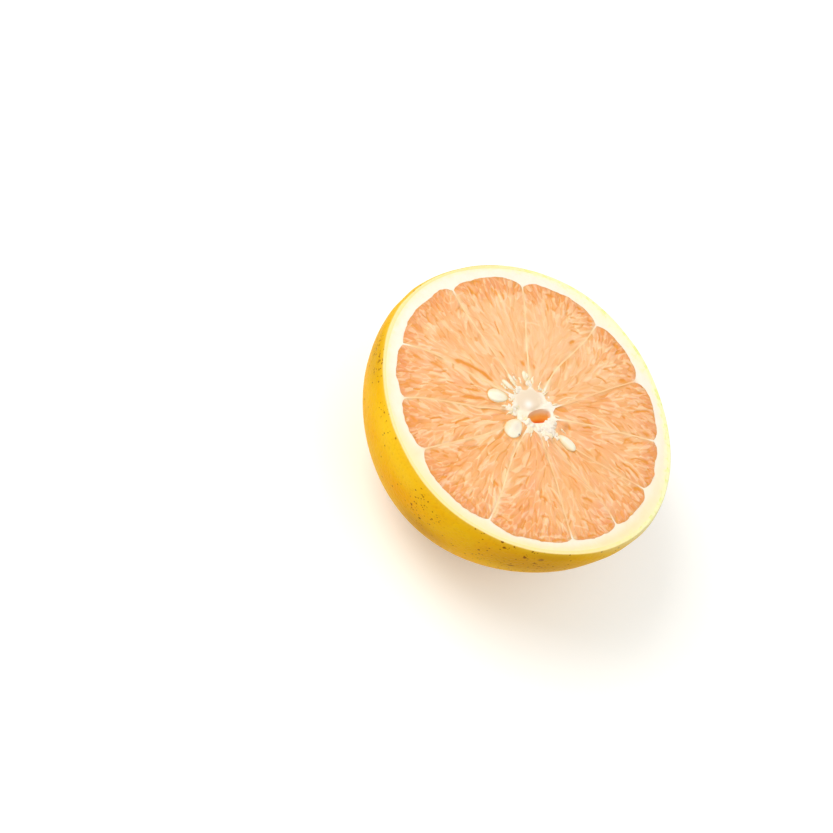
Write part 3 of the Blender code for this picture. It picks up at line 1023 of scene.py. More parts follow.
@dataclass(frozen=True)
class WhiteTissue:
    """The pith, the membranes and the core with its hollow, in one piece."""

    layout: CutLayout
    pulp: Pulp
    seeds: tuple[SeedSize, ...]
    skin: float = 1.5
    floor_z: float = 2.8
    spacing: float = 0.34
    clear: float = 0.25
    lip: float = 0.7
    plug: Lump = Lump((-1.7, 0.7), 5.7, 4.3, 72, 0.38, 0.0)
    lumps: tuple[Lump, ...] = (
        Lump((3.4, 4.9), 3.6, 1.7, 25, 0.40, 0.5),
        Lump((9.6, -1.3), 4.1, 2.4, 110, 0.50, 0.6),
        Lump((11.0, -4.6), 1.9, 1.4, 60, 0.30, 0.6),
        Lump((4.5, -6.8), 2.3, 1.8, 100, 0.30, 0.5),
        Lump((0.4, -6.3), 2.2, 1.8, 80, 0.25, 0.4),
        Lump((-4.3, -6.3), 2.8, 1.7, 250, 0.25, 0.4),
    )
    pith_from: Pair = (43.0, 46.0)
    core_within: Pair = (13.0, 9.0)
    hollow_middle: Pair = (4.35, -0.75)
    hollow_heading: float = 66.0
    hollow_half: Pair = (4.7, 2.45)
    hollow_drift: Pair = (1.46, -0.65)
    hollow_depth: float = 18.0
    hollow_power: float = 1.6
    hollow_roughness: float = 0.10
    hollow_steps: int = 16
    hollow_sides: int = 72

    def relief(self, x: Array, y: Array) -> Masks:
        """Return the height of the tissue over the cut, and what its finish depends on.

        Args:
            x, y: the places on the cut.

        Returns:
            height and the masks: plug is 1 on the smooth plug, thin where a membrane is thin, show where it
            stands out, pith and zest near the rind, north and lemon at two sides of the fruit, a painted
            highlight on the brightest spot of the plug, and brown marks that are partly stains and partly
            painted shade.
        """
        from_core = np.hypot(x - self.layout.core_centre[0], y - self.layout.core_centre[1])
        from_middle = np.hypot(x - self.layout.pulp_centre[0], y - self.layout.pulp_centre[1])
        pith = ease(*self.pith_from, from_middle)
        core = ease(*self.core_within, from_core)
        plug = self.plug.share(x, y)
        smooth = ease(0.05, 0.5, plug)
        faded = ease(0.0, 0.75, plug + 0.12 * Waviness(55, 1.3).at(x, y))
        sponge = 0.6 * Waviness(70, 0.7).at(x, y) + 0.4 * Waviness(71, 1.7).at(x, y)
        height = 0.05 * sponge * (1 - smooth) - 0.03
        height = height + 0.10 * pith * Waviness(72, 6.0).at(x, y) - 0.05 * pith
        height = height + 0.05 * (1 - pith) * (1 - core)
        height = height + self.plug.height * plug
        crumb = np.zeros_like(x)
        for lump in self.lumps:
            share = lump.share(x, y)
            crumb = np.maximum(crumb, share * lump.crumb)
            height = height + lump.height * share
        height = height + crumb * (0.35 * Waviness(73, 1.1).at(x, y) + 0.2 * Waviness(79, 0.5).at(x, y))
        height = height - 0.8 * np.exp(-((self._hollow_out(x, y) - 1) / 0.20)) * smooth
        show = np.zeros_like(x)
        between = (from_core > 7.0) & (from_middle < 48.0)
        near = np.full(between.sum(), 9.0)
        for number, membrane in enumerate(self.layout.membranes):
            gap = gap_to(self.layout.centreline(number, 90), x[between], y[between])
            show[between] = np.where(gap < near, membrane.show, show[between])
            near = np.minimum(near, gap)
        for seed in self.seeds:
            height = np.minimum(height, seed.socket(x, y))
        height = mix(height, -0.035, ease(49.2, 50.2, np.hypot(x, y)))
        form = self.layout.form
        from_rim = form.ring(form.face_radius, np.degrees(np.arctan2(y, x))) - np.hypot(x, y)
        return {
            "height": height,
            "plug": faded,
            "thin": ease(46.0, 42.0, from_middle) * ease(8.5, 13.0, from_core),
            "show": np.clip(show * (0.75 + 0.5 * Waviness(77, 3.0).at(x, y)), 0, 1),
            "pith": ease(46.5, 50.0, from_middle + 0.8 * Waviness(78, 5.0).at(x, y)),
            "zest": ease(3.0, 1.5, from_rim + 0.5 * Waviness(83, 1.2).at(x, y)),
            "north": ease(-0.3, 0.8, np.cos(np.arctan2(y, x) - math.radians(75))),
            "lemon": ease(-0.4, 0.9, np.cos(np.arctan2(y, x) - math.radians(302))),
            # painted highlight: a pale spot on the plug
            "shine": np.exp(-(((x + 0.7) / 1.3) ** 2) - ((y + 1.0) / 1.5) ** 2),
            # brown marks, partly stains and partly painted shade
            "brown": strongest(BROWN_AND_SHADE_MARKS, x, y),
        }

    def _hollow_out(self, x: Array, y: Array) -> Array:
        """Return how far out from the hollow each place lies, with 1 at its edge."""
        along, across = seen_from(self.hollow_middle, heading(self.hollow_heading), x, y)
        return np.clip(np.hypot(along / self.hollow_half[0], across / self.hollow_half[1]), 1.0, 9.0)

    def hollow_ring(self, depth: float) -> Array:
        """Return the hollow's outline at one depth: it drifts from the plug and narrows as it goes down."""
        turns = np.arange(self.hollow_sides) * 360 / self.hollow_sides
        share = depth / self.hollow_depth
        size = np.array([1 - 0.35 * share**0.6, 1 - 0.45 * ease(0, 3.5, depth) - 0.15 * share])
        ragged = 1 + 0.09 * Waviness(74, 1.6).at(*(4 * heading(turns).T), 1.2 * depth)
        spots = heading(turns) * np.array(self.hollow_half) * size * ragged[:, None]
        way = math.radians(self.hollow_heading)
        across = np.array([-math.sin(way), math.cos(way)])
        drift = np.array(self.hollow_drift) * ease(0.0, 4.5, depth)
        middle = np.array(self.hollow_middle) + drift
        return middle + spots[:, :1] * heading(self.hollow_heading) + spots[:, 1:] * across

    def _face(self, loops: list[Array]) -> tuple[Array, list[tuple[int, ...]], list[Array]]:
        """Divide the face of the tissue into triangles.

        Args:
            loops: the outer edge first, then the edge of each opening.

        Returns:
            The places, the triangles and the place numbers of each loop.
        """
        edges = np.concatenate(loops)
        starts = np.cumsum([0] + [len(loop) for loop in loops])
        polygons = [list(range(start, end)) for start, end in zip(starts, starts[1:])]
        spots = self._fill(edges)
        places = [Vector(spot) for spot in np.concatenate([edges, spots]).tolist()]
        found, _, faces, from_places, _, from_faces = geometry.delaunay_2d_cdt(places, [], polygons, 1, 1e-5)
        number_of = {first: number for number, group in enumerate(from_places) for first in group}
        kept = np.array([tuple(face) for face, origin in zip(faces, from_faces) if set(origin) == {0}])
        rings = [np.array([number_of[first] for first in polygon]) for polygon in polygons]
        used, kept = np.unique(kept, return_inverse=True)
        kept = [tuple(face) for face in kept.reshape(-1, 3)]
        rings = [np.searchsorted(used, ring) for ring in rings]
        return np.array([tuple(spot) for spot in found])[used], kept, rings

    def _fill(self, edges: Array) -> Array:
        """Return a honeycomb of places over the tissue that keep clear of its edges."""
        reach = self.layout.form.face_radius - self.skin
        steps = np.arange(-reach, reach, self.spacing)
        x, y = np.meshgrid(steps, steps * math.sqrt(0.75))
        x = x + 0.5 * self.spacing * (np.arange(len(steps)) % 2)[:, None]
        x, y = x.ravel(), y.ravel()
        random = np.random.default_rng(75)
        x = x + random.uniform(-0.2, 0.2, len(x)) * self.spacing
        y = y + random.uniform(-0.2, 0.2, len(y)) * self.spacing
        from_middle = np.hypot(x, y)
        tissue = (from_middle < reach - 0.3) & ((from_middle > 41.5) | (from_middle < 14.0))
        for number in range(len(self.layout.membranes)):
            tissue |= gap_to(self.layout.centreline(number, 80), x, y) < 0.8
        tissue &= from_middle < reach - 0.3
        spots = np.stack([x, y], -1)[tissue]
        cell = self.clear
        taken = {tuple(key) for key in np.floor(edges / cell).astype(int).tolist()}
        beside = list(itertools.product((0, 1, -1), repeat=2))
        free = [
            all((key[0] + step[0], key[1] + step[1]) not in taken for step in beside)
            for key in np.floor(spots / cell).astype(int).tolist()
        ]
        return spots[np.array(free)]

    def build(self, finish: "TissueFinish") -> bpy.types.Object:
        """Make the tissue with its pockets, hollow and outer side."""
        form, layout = self.layout.form, self.layout
        turns = np.linspace(0, 360, 720, endpoint=False)
        rim = heading(turns) * (form.ring(form.face_radius - self.skin + TUCK, turns))[:, None]
        counts = [self.pulp.counts(number) for number in range(len(layout.membranes))]
        pockets = [
            layout.loop(number, layout.pulp_radius, 0.0, *count) for number, count in enumerate(counts)
        ]
        flat, faces, rings = self._face([rim, *pockets, self.hollow_ring(0.0)])
        x, y = flat[:, 0], flat[:, 1]
        masks = self.relief(x, y)
        shell = Shell()
        shell.add(np.column_stack([flat, form.cut + masks.pop("height")]))
        shell.faces += faces
        for number, (ring, count) in enumerate(zip(rings[1:-1], counts)):
            lining = layout.rings(number, self.lip, 0.0, (count[0] // 4, count[1] // 4))
            shell.hang(ring, lining, lining[-1].mean(axis=0))
        masks["deep"] = self._hollow(shell, rings[-1])
        self._outside(shell, rings[0], turns)
        piece = shell.build("white_tissue", masks)
        piece.data.materials.append(finish.material())
        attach(piece, BODY)
        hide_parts("pith_and_membranes")
        return piece

    def _hollow(self, shell: Shell, ring: Array) -> Array:
        """Line the hollow in the core, and return how deep each vertex lies in it."""
        cut = self.layout.form.cut
        first = shell.count
        depths = []
        previous = ring
        for step in range(1, self.hollow_steps + 1):
            depth = self.hollow_depth * (step / self.hollow_steps) ** self.hollow_power
            loop = self.hollow_ring(depth)
            rough = Waviness(76, 0.8).at(loop[:, 0], loop[:, 1], 2 * depth)
            lower = shell.add(np.column_stack([loop, cut - depth + self.hollow_roughness * rough]))
            depths.append(np.full(len(loop), depth))
            shell.strip(previous, lower)
            previous = lower
        shell.cap(previous, np.append(loop.mean(axis=0), cut - self.hollow_depth - 0.5))
        return np.concatenate([np.zeros(first), *depths, [self.hollow_depth]])

    def _outside(self, shell: Shell, ring: Array, turns: Array) -> None:
        """Close the outside of the tissue, just inside the rind."""
        form = self.layout.form
        coarse = turns[::4]
        skin = self.skin - TUCK
        top = (form.face_radius - skin, form.cut - 1.0)
        rings = []
        for radius, z in [top, *form.bowl(skin, self.floor_z, 12)[::-1]]:
            spots = heading(coarse) * form.ring(radius, coarse)[:, None]
            rings.append(np.column_stack([spots, np.full(len(coarse), z)]))
        shell.hang(ring, rings, np.array([0.0, 0.0, self.floor_z]))


@dataclass(frozen=True)
class Patch:
    """A place on the rind: its heading, its depth below the cut, and how far it spreads each way."""

    heading: float
    depth: float
    spread_around: float
    spread_down: float

    def share(self, angles: Array, depths: Array) -> Array:
        """Return 1 in the middle of the patch, fading out around it."""
        around = angle_gap(angles, self.heading) / self.spread_around
        down = (depths - self.depth) / self.spread_down
        return np.exp(-(around**2) - down**2)


@dataclass(frozen=True)
class Rind:
    """The thin yellow skin: a bowl with a rounded edge at the cut and a scar underneath."""

    form: FruitForm
    thickness: float = 1.5
    edge_round: float = 0.35
    dimple_depth: float = 1.0
    sink: float = 0.02
    smooth_rows: int = 9
    dent_depth: float = 0.30
    crease_height: float = 0.10
    around: int = 512
    down: int = 92
    olive: tuple[Patch, ...] = (Patch(-146, 3, 15, 8), Patch(-42, 1, 8, 3), Patch(95, 8, 30, 9))
    # brown patches; the one at -46 degrees is mostly painted shade on the lower rind
    brown: tuple[Patch, ...] = (Patch(-46, 9, 26, 10), Patch(-86, 21, 14, 8), Patch(130, 20, 24, 14))
    lemon: tuple[Patch, ...] = (
        Patch(-118, 3, 8, 5),
        Patch(-102, 5, 9, 4),
        Patch(60, 6, 20, 8),
        Patch(-10, 12, 14, 9),
    )
    blemishes: tuple[Patch, ...] = (
        Patch(-45.4, 3.6, 1.2, 0.9),
        Patch(-52, 12, 1.6, 0.7),
        Patch(64, 9, 1.4, 1.0),
    )
    # orange patches; the one at -98 degrees is partly painted reflected light on the rind
    orange: tuple[Patch, ...] = (Patch(-98, 12, 13, 9), Patch(40, 18, 30, 14), Patch(170, 26, 20, 10))
    speckled: tuple[Patch, ...] = (
        Patch(-151, 3, 7, 5),
        Patch(-143, 2, 6, 3),
        Patch(-126, 1, 4, 3),
        Patch(-116, 1, 5, 2),
        Patch(-93, 3, 3, 2),
        Patch(-89, 13, 6, 6),
        Patch(-50, 8, 16, 9),
        Patch(20, 10, 18, 8),
        Patch(150, 12, 22, 10),
    )

    def profile(self) -> list[Pair]:
        """Return mean radius and height from the scar round the outside and over the edge to the inside."""
        form = self.form
        under = [(radius, self._dimple(radius)) for radius in np.linspace(0.25, form.rest_inner_radius, 18)]
        flat = [(radius, 0.0) for radius in np.linspace(form.rest_inner_radius, form.rest_radius, 5)[1:-1]]
        side = form.bowl(0.0, 0.0, self.down)
        rise = form.widest_depth - self.edge_round
        upper = [
            (mix(form.body_radius, form.face_radius, share**2), form.widest_z + share * rise)
            for share in np.linspace(0, 1, 12)[1:-1]
        ]
        corner, cut = form.face_radius - self.edge_round, form.cut - self.sink
        edge = [
            (corner + self.edge_round * math.cos(turn), cut - self.edge_round * (1 - math.sin(turn)))
            for turn in np.radians(np.linspace(0, 90, 6))
        ]
        inner_radius = form.face_radius - self.thickness
        top = [(radius, cut) for radius in np.linspace(corner, inner_radius, 6)[1:]]
        inside = form.bowl(self.thickness, self.dimple_depth + self.thickness, 8)[::-1]
        return under + flat + side + upper + edge + top + inside

    def _dimple(self, radius: float) -> float:
        """Return the height of the underside: a low button of scar in a round dimple."""
        radii = np.array([0.0, 1.3, 1.8, 2.3, 2.9, 3.6, 4.6, 5.4, 6.0])
        heights = np.array([0.55, 0.48, 0.50, 0.80, 1.0, 0.85, 0.40, 0.12, 0.0])
        return float(np.interp(radius, radii, heights))

    def build(self, finish: "RindFinish") -> bpy.types.Object:
        """Make the rind."""
        form = self.form
        profile = self.profile()
        angles = np.linspace(0, 360, self.around, endpoint=False)
        radii = np.array([radius for radius, _ in profile])[:, None]
        heights = np.array([height for _, height in profile])[:, None] * np.ones(self.around)
        flat = form.ring(radii, angles[None, :])
        x, y = flat * heading(angles).T[0], flat * heading(angles).T[1]

        outside = np.arange(len(profile))[:, None] < len(profile) - self.smooth_rows
        standing = ease(0.0, 6.0, heights)
        dents = 0.7 * Waviness(80, 17.0).at(x, y, heights) + 0.4 * Waviness(81, 6.0).at(x, y, heights)
        dents = self.dent_depth * (np.minimum(dents, 0.5) - 0.5) * standing * outside
        dents = dents * ease(0.0, 1.2, radii - form.face_radius + self.thickness)
        creases = self.crease_height * np.cos(np.radians(9 * angles + 40 * np.sin(np.radians(2 * angles))))
        creases = creases * np.exp(-(((radii - 3.2) / 1.2) ** 2)) * (radii < form.rest_inner_radius)
        scale = 1 + dents / np.maximum(flat, 1.0)
        heights = heights + creases
        x, y = x * scale, y * scale

        shell = Shell()
        rows = [shell.add(np.stack([x[row], y[row], heights[row]], -1)) for row in range(len(profile))]
        tips = (self._dimple(0.0), self.dimple_depth + self.thickness)
        shell.join(rows, *(np.array([0.0, 0.0, tip]) for tip in tips))

        depths = (form.cut - heights).ravel()
        around = (np.ones((len(profile), 1)) * angles).ravel()
        top_share = ease(form.face_radius + 0.1, form.face_radius - 1.0, radii) * np.ones(self.around)
        reach = 1.3 + 2.0 * np.exp(-((angle_gap(around, 4) / 24) ** 2))
        far = ease(-0.1, 0.7, np.cos(np.radians(around - 62))) * np.exp(-((depths / reach) ** 2))
        at_cut = (heights > form.cut - 0.6).ravel()
        scar = ((radii < 2.2) & (heights < 2.0)) * np.ones(self.around)

        def gather(patches: tuple[Patch, ...]) -> Array:
            """Return the sum of several patches at each place."""
            return sum(patch.share(around, depths) for patch in patches)

        mottled, patchy = (Waviness(*kind).at(x, y, heights).ravel() for kind in ((82, 14.0), (84, 9.0)))
        masks = {
            "olive": gather(self.olive) + 0.3 * mottled,
            # the brown patches, partly painted shade, and browner towards the underside
            "brown": gather(self.brown) + 0.6 * ease(30, 50, depths),
            "lemon": gather(self.lemon),
            "edge": np.exp(-((depths / 1.1) ** 2)),
            "north": ease(-0.3, 0.8, np.cos(np.radians(around - 75))),
            "orange": gather(self.orange) + 0.25 * patchy,
            "blemish": gather(self.blemishes),
            "speckled": gather(self.speckled) + 0.08,
            "rim": top_share.ravel() * at_cut,
            "far": far,
            "scar": scar.ravel(),
        }
        piece = shell.build("skin", masks)
        piece.data.materials.append(finish.material())
        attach(piece, BODY)
        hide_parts("rind")
        return piece


@dataclass(frozen=True)
class Seeds:
    """The seeds beside the core."""

    form: FruitForm
    sizes: tuple[SeedSize, ...] = (
        SeedSize("seed_1", (-9.3, -7.6), 7.2, 5.3, 4.0, 222, 0.7, 1),
        SeedSize("seed_2", (1.5, -11.7), 7.9, 6.3, 4.2, 278, 0.8, 2),
        SeedSize("seed_3", (16.5, -0.2), 7.2, 3.9, 3.2, 4, 0.6, 3),
        SeedSize("seed_4", (-9.8, 1.1), 5.4, 1.6, 1.4, 164, 0.3, 4),
        SeedSize("seed_5", (-9.5, -1.4), 5.4, 2.0, 1.6, 186, 0.3, 5),
        SeedSize("seed_6", (-8.1, 6.1), 4.2, 2.0, 1.6, 142, 0.3, 6),
    )
    around: int = 64
    along: int = 48

    def build(self, size: SeedSize, finish: "SeedFinish") -> bpy.types.Object:
        """Make one seed: a teardrop with flattened sides and fine creases along it."""
        turns = np.linspace(0, 360, self.around, endpoint=False)
        polar = np.linspace(0, 180, self.along + 1)[1:-1]
        along = np.cos(np.radians(polar))[:, None] * np.ones(self.around)
        out = np.sin(np.radians(polar))[:, None]
        around = heading(turns)
        thin = 1 - SEED_TAPER * (1 - along) / 2
        folds = 0.035 * np.cos(np.radians(7 * turns + 50 * size.seed))
        folds = folds + 0.02 * np.cos(np.radians(17 * turns))
        rough = 0.05 if size.plump else 0.22
        uneven = rough * Waviness(90 + size.seed, 0.8).at(*around.T, 0.9 * size.length * along)
        lumps = 0.07 * Waviness(100 + size.seed, 1.5).at(*around.T, 0.45 * size.length * along)
        swell = out * thin * (0.96 + folds * np.sqrt(out) + (uneven + lumps) * out)
        upper = around[:, 1] > 0
        own = np.stack([
            along * size.length / 2 * 0.99,
            swell * around[:, 0] * size.breadth / 2,
            swell * around[:, 1] * np.where(upper, *size.halves),
        ], -1)
        ends = np.array([[size.length / 2, 0, 0], [-size.length / 2, 0, 0]]) * 0.995
        way = heading(size.heading)
        turn = np.array([[way[0], -way[1], 0], [way[1], way[0], 0], [0, 0, 1]])
        place = np.array([*size.middle, self.form.cut - SEED_SIT])
        shell = Shell()
        rows = [shell.add(row @ turn.T + place) for row in own]
        shell.join(rows, *(ends @ turn.T + place))
        dark = np.exp(-(((along - 0.28) / 0.12) ** 2) - (angle_gap(turns[None, :], 30) / 13) ** 2)
        kernel = np.exp(-(((along + 0.15) / 0.5) ** 2) - ((out * around[:, 0] - 0.12) / 0.5) ** 2)
        masks = {
            "pointed": ease(-0.4, -1.0, along).ravel(),
            "husk": (0.5 + 0.5 * np.cos(np.radians(turns - 160))[None, :] * np.ones_like(along)).ravel(),
            "spot": (dark * (size.name == "seed_2")).ravel(),
            "edge": np.exp(-((own[..., 2] / 0.22) ** 2)).ravel(),
            "dull": kernel.ravel() * {"seed_2": 0.95, "seed_1": 0.2}.get(size.name, 0.5),
        }
        piece = shell.build(size.name.replace("seed", "pip"), masks)
        piece.data.materials.append(finish.material())
        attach(piece, BODY)
        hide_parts(size.name)
        return piece


@dataclass(frozen=True)
class CrumbHeap:
    """A heap of torn tissue: its middle, half length and width, heading, and its crumbs' number and size."""

    middle: Pair
    half_length: float
    half_width: float
    heading: float
    count: int
    size: float
    yellow: float = 0.2


@dataclass(frozen=True)
class CoreCrumbs:
    """Torn bits of spongy tissue round the plug, the hollow and the seeds' points."""

    form: FruitForm
    heaps: tuple[CrumbHeap, ...] = (
        CrumbHeap((9.5, -1.6), 3.8, 1.9, 112, 30, 1.05, 0.1),
        CrumbHeap((7.8, -4.4), 1.9, 1.0, 50, 10, 0.85),
        CrumbHeap((2.8, -6.1), 2.8, 1.0, 8, 18, 0.85, 0.3),
        CrumbHeap((5.5, -7.4), 1.4, 0.6, 95, 7, 0.80, 0.9),
        CrumbHeap((-3.8, -6.4), 2.0, 1.4, 240, 14, 0.85, 0.3),
        CrumbHeap((3.1, 4.7), 2.6, 1.0, 30, 16, 0.75, 0.3),
        CrumbHeap((-2.4, -7.6), 1.6, 1.2, 0, 10, 0.75, 0.3),
        CrumbHeap((-6.4, -1.4), 3.0, 0.8, 95, 18, 0.60, 0.3),
        CrumbHeap((-7.4, 6.4), 2.6, 0.9, 125, 14, 0.55, 0.7),
        CrumbHeap((-5.4, 5.0), 1.8, 0.9, 130, 12, 0.50, 0.5),
        CrumbHeap((-0.6, 7.1), 2.8, 0.5, 5, 12, 0.42, 0.6),
        CrumbHeap((12.9, -1.0), 1.0, 1.1, 0, 9, 0.50, 0.5),
        CrumbHeap((-6.2, -4.4), 1.2, 0.9, 30, 10, 0.55, 0.3),
        CrumbHeap((-9.8, 2.6), 1.8, 0.6, 165, 8, 0.38, 0.8),
        CrumbHeap((-9.6, -2.9), 1.8, 0.5, 190, 7, 0.35, 0.8),
    )
    proportions: tuple[float, float, float] = (1.3, 0.95, 0.62)
    highest: float = 0.84

    def build(self, finish: "TissueFinish") -> bpy.types.Object:
        """Make the crumbs, each a lumpy closed bit."""
        ball = bmesh.new()
        bmesh.ops.create_icosphere(ball, subdivisions=3, radius=1.0)
        sphere = np.array([vertex.co[:] for vertex in ball.verts])
        triangles = np.array([[vertex.index for vertex in face.verts] for face in ball.faces])
        ball.free()
        random = np.random.default_rng(110)
        shell = Shell()
        lemon, pith = [], []
        for heap in self.heaps:
            way = heading(heap.heading)
            across = np.array([-way[1], way[0]])
            for _ in range(heap.count):
                reach, turn = math.sqrt(random.uniform()), random.uniform(0, math.tau)
                spot = np.array(heap.middle) + way * heap.half_length * reach * math.cos(turn)
                spot = spot + across * heap.half_width * reach * math.sin(turn)
                size = heap.size * random.uniform(0.5, 1.15) * (1.1 - 0.35 * reach)
                own = random.uniform(0, 40)
                rough = 0.50 * Waviness(111, 0.8).at(*sphere.T + own)
                rough = rough + 0.22 * Waviness(112, 0.35).at(*sphere.T + own)
                lump = sphere * (1 + rough)[:, None] * size * np.array(self.proportions)
                outwards = math.degrees(math.atan2(spot[1] + 0.6, spot[0] - 1.2))
                spin = math.radians(random.normal(outwards, 35))
                height = 0.75 * lump[:, 2] + random.uniform(-0.1, 0.3) * (1 - reach)
                height = np.minimum(height, self.highest)
                placed = np.column_stack([*turned(lump[:, 0], lump[:, 1], spin), height])
                numbers = shell.add(placed + np.array([*spot, self.form.cut]))
                shell.faces += [tuple(numbers[face]) for face in triangles]
                lemon.append(np.full(len(sphere), random.uniform()))
                pith.append(np.full(len(sphere), float(random.uniform() < heap.yellow)))
        piece = shell.build("core_crumbs", {"lemon": np.concatenate(lemon), "pith": np.concatenate(pith)})
        piece.data.materials.append(finish.material())
        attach(piece, BODY)
        return piece


@dataclass(frozen=True)
class CoreFibres:
    """Pale points of tissue that lie over the pulp round the core."""

    form: FruitForm
    points: tuple[tuple[float, float, float, float, float], ...] = (
        (-5.6, -8.3, 236, 2.8, 0.9),
        (-3.0, -9.2, 258, 2.6, 0.7),
        (-5.6, 7.6, 124, 3.4, 0.9),
        (-2.9, 8.3, 106, 3.2, 0.8),
        (0.6, 7.6, 88, 2.6, 0.7),
        (5.3, 7.2, 60, 2.8, 0.6),
        (-8.4, 3.6, 156, 3.0, 0.8),
        (8.3, 4.2, 32, 2.8, 0.7),
        (13.2, 2.0, 14, 2.6, 0.5),
        (6.6, -8.6, 300, 2.6, 0.7),
        (12.6, -6.2, 330, 2.4, 0.5),
    )
    sides: int = 16
    rings: int = 20
    height: float = 0.35

    def build(self, finish: "TissueFinish") -> bpy.types.Object:
        """Make the points, each from its middle, heading, length and width."""
        shell = Shell()
        turns = np.linspace(0, 360, self.sides, endpoint=False)
        for number, (x, y, degrees, length, width) in enumerate(self.points):
            share = np.linspace(0, 1, self.rings + 1)[1:-1]
            way = heading(degrees)
            across = np.array([-way[1], way[0]])
            wiggle = 0.25 * Waviness(100 + number, 1.6).at(length * share, 0.0)
            thick = np.sin(math.pi * share**0.6) ** 0.8
            thick = thick * (0.75 + 0.45 * Waviness(130 + number, 0.5).at(length * share, 0.0))
            middles = np.array([x, y]) + (share - 0.5)[:, None] * length * way + wiggle[:, None] * across
            rows = []
            for middle, size in zip(middles, thick):
                flat = middle + (np.cos(np.radians(turns)) * size * width / 2)[:, None] * across
                z = self.form.cut + 0.02 + np.sin(np.radians(turns)) * size * self.height
                rows.append(shell.add(np.column_stack([flat, z])))
            start = np.append(middles[0] - 0.04 * length * way, self.form.cut + 0.02)
            end = np.append(middles[-1] + 0.04 * length * way, self.form.cut - 0.05)
            shell.join(rows, start, end)
        level = np.full(shell.count, 0.7)
        piece = shell.build("core_fibres", {"pith": level, "lemon": level})
        piece.data.materials.append(finish.material())
        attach(piece, BODY)
        return piece


@dataclass
class Wiring:
    """Adds nodes to a tree and joins them. A value can be given as the name of a mask of the mesh."""

    tree: bpy.types.NodeTree

    def node(self, kind: str, **settings: object) -> bpy.types.Node:
        """Add a node and set its properties."""
        made = self.tree.nodes.new(kind)
        for label, value in settings.items():
            setattr(made, label, value)
        return made

    def feed(self, socket: Socket, value: Value) -> None:
        """Join a socket to another or to a mask, or set its value."""
        value = self.mask(value) if isinstance(value, str) else value
        if isinstance(value, bpy.types.NodeSocket):
            self.tree.links.new(value, socket)
        else:
            socket.default_value = value

    def math(self, operation: str, first: Value, second: Value) -> Socket:
        """Return one value worked out from two."""
        made = self.node("ShaderNodeMath", operation=operation)
        self.feed(made.inputs[0], first)
        self.feed(made.inputs[1], second)
        return made.outputs[0]

    def times(self, first: Value, second: Value) -> Socket:
        """Return the product of two values."""
        return self.math("MULTIPLY", first, second)

    def plus(self, first: Value, second: Value) -> Socket:
        """Return the sum of two values."""
        return self.math("ADD", first, second)

    def ramp(self, value: Value, low: float, high: float) -> Socket:
        """Return 0 below low and 1 above high, with a smooth rise."""
        made = self.node("ShaderNodeMapRange", interpolation_type="SMOOTHSTEP")
        for index, setting in enumerate((value, low, high, 0.0, 1.0)):
            self.feed(made.inputs[index], setting)
        return made.outputs[0]

    def blend(self, share: Value, first: Value, second: Value) -> Socket:
        """Return a colour between two."""
        made = self.node("ShaderNodeMix", data_type="RGBA")
        self.feed(made.inputs[0], share)
        self.feed(made.inputs[6], first)
        self.feed(made.inputs[7], second)
        return made.outputs[2]

    def layers(self, colour: Value, *layers: tuple[Value, float, Value]) -> Socket:
        """Return a colour with layers over it.

        Args:
            colour: the colour below.
            layers: for each, from the lowest up, where it shows, how much of it at most, and its colour.
        """
        for share, amount, layer in layers:
            colour = self.blend(self.times(share, amount) if amount < 1 else share, colour, layer)
        return colour

    def mask(self, name: str) -> Socket:
        """Return a value that the mesh carries at each vertex."""
        return self.node("ShaderNodeAttribute", attribute_name=name).outputs["Fac"]

    def vector(self, name: str) -> Socket:
        """Return a vector that the mesh carries at each vertex."""
        return self.node("ShaderNodeAttribute", attribute_name=name).outputs["Vector"]

    def place(self) -> Socket:
        """Return the place on the piece, in metres."""
        return self.node("ShaderNodeTexCoord").outputs["Object"]

    def noise(self, place: Socket, scale: Value, detail: float = 3.0, stretch: tuple | None = None) -> Socket:
        """Return a noise value at a place, stretched along the axes if asked."""
        if stretch:
            mapping = self.node("ShaderNodeMapping")
            self.feed(mapping.inputs["Vector"], place)
            mapping.inputs["Scale"].default_value = stretch
            place = mapping.outputs[0]
        made = self.node("ShaderNodeTexNoise")
        self.feed(made.inputs["Vector"], place)
        self.feed(made.inputs["Scale"], scale)
        made.inputs["Detail"].default_value = detail
        return made.outputs["Fac"]

    def use(self, group: bpy.types.NodeTree, **inputs: Value) -> tuple[Socket, ...]:
        """Place a node group with its own values, and return its outputs."""
        made = self.node("ShaderNodeGroup", node_tree=group)
        for label, value in inputs.items():
            self.feed(made.inputs[label], value)
        return tuple(made.outputs)


def new_group(name: str, inputs: dict[str, str], outputs: dict[str, str]) -> tuple[Wiring, dict, dict]:
    """Start a shader node group.

    Args:
        name: the group's name.
        inputs: the kind of each input socket, by name.
        outputs: the kind of each output socket, by name.

    Returns:
        The wiring of the group, its input sockets and its output sockets.
    """
    tree = bpy.data.node_groups.new(name, "ShaderNodeTree")
    for direction, sockets in (("INPUT", inputs), ("OUTPUT", outputs)):
        for label, kind in sockets.items():
            tree.interface.new_socket(name=label, in_out=direction, socket_type="NodeSocket" + kind)
    wiring = Wiring(tree)
    start, end = wiring.node("NodeGroupInput"), wiring.node("NodeGroupOutput")
    return wiring, dict(start.outputs.items()), dict(end.inputs.items())


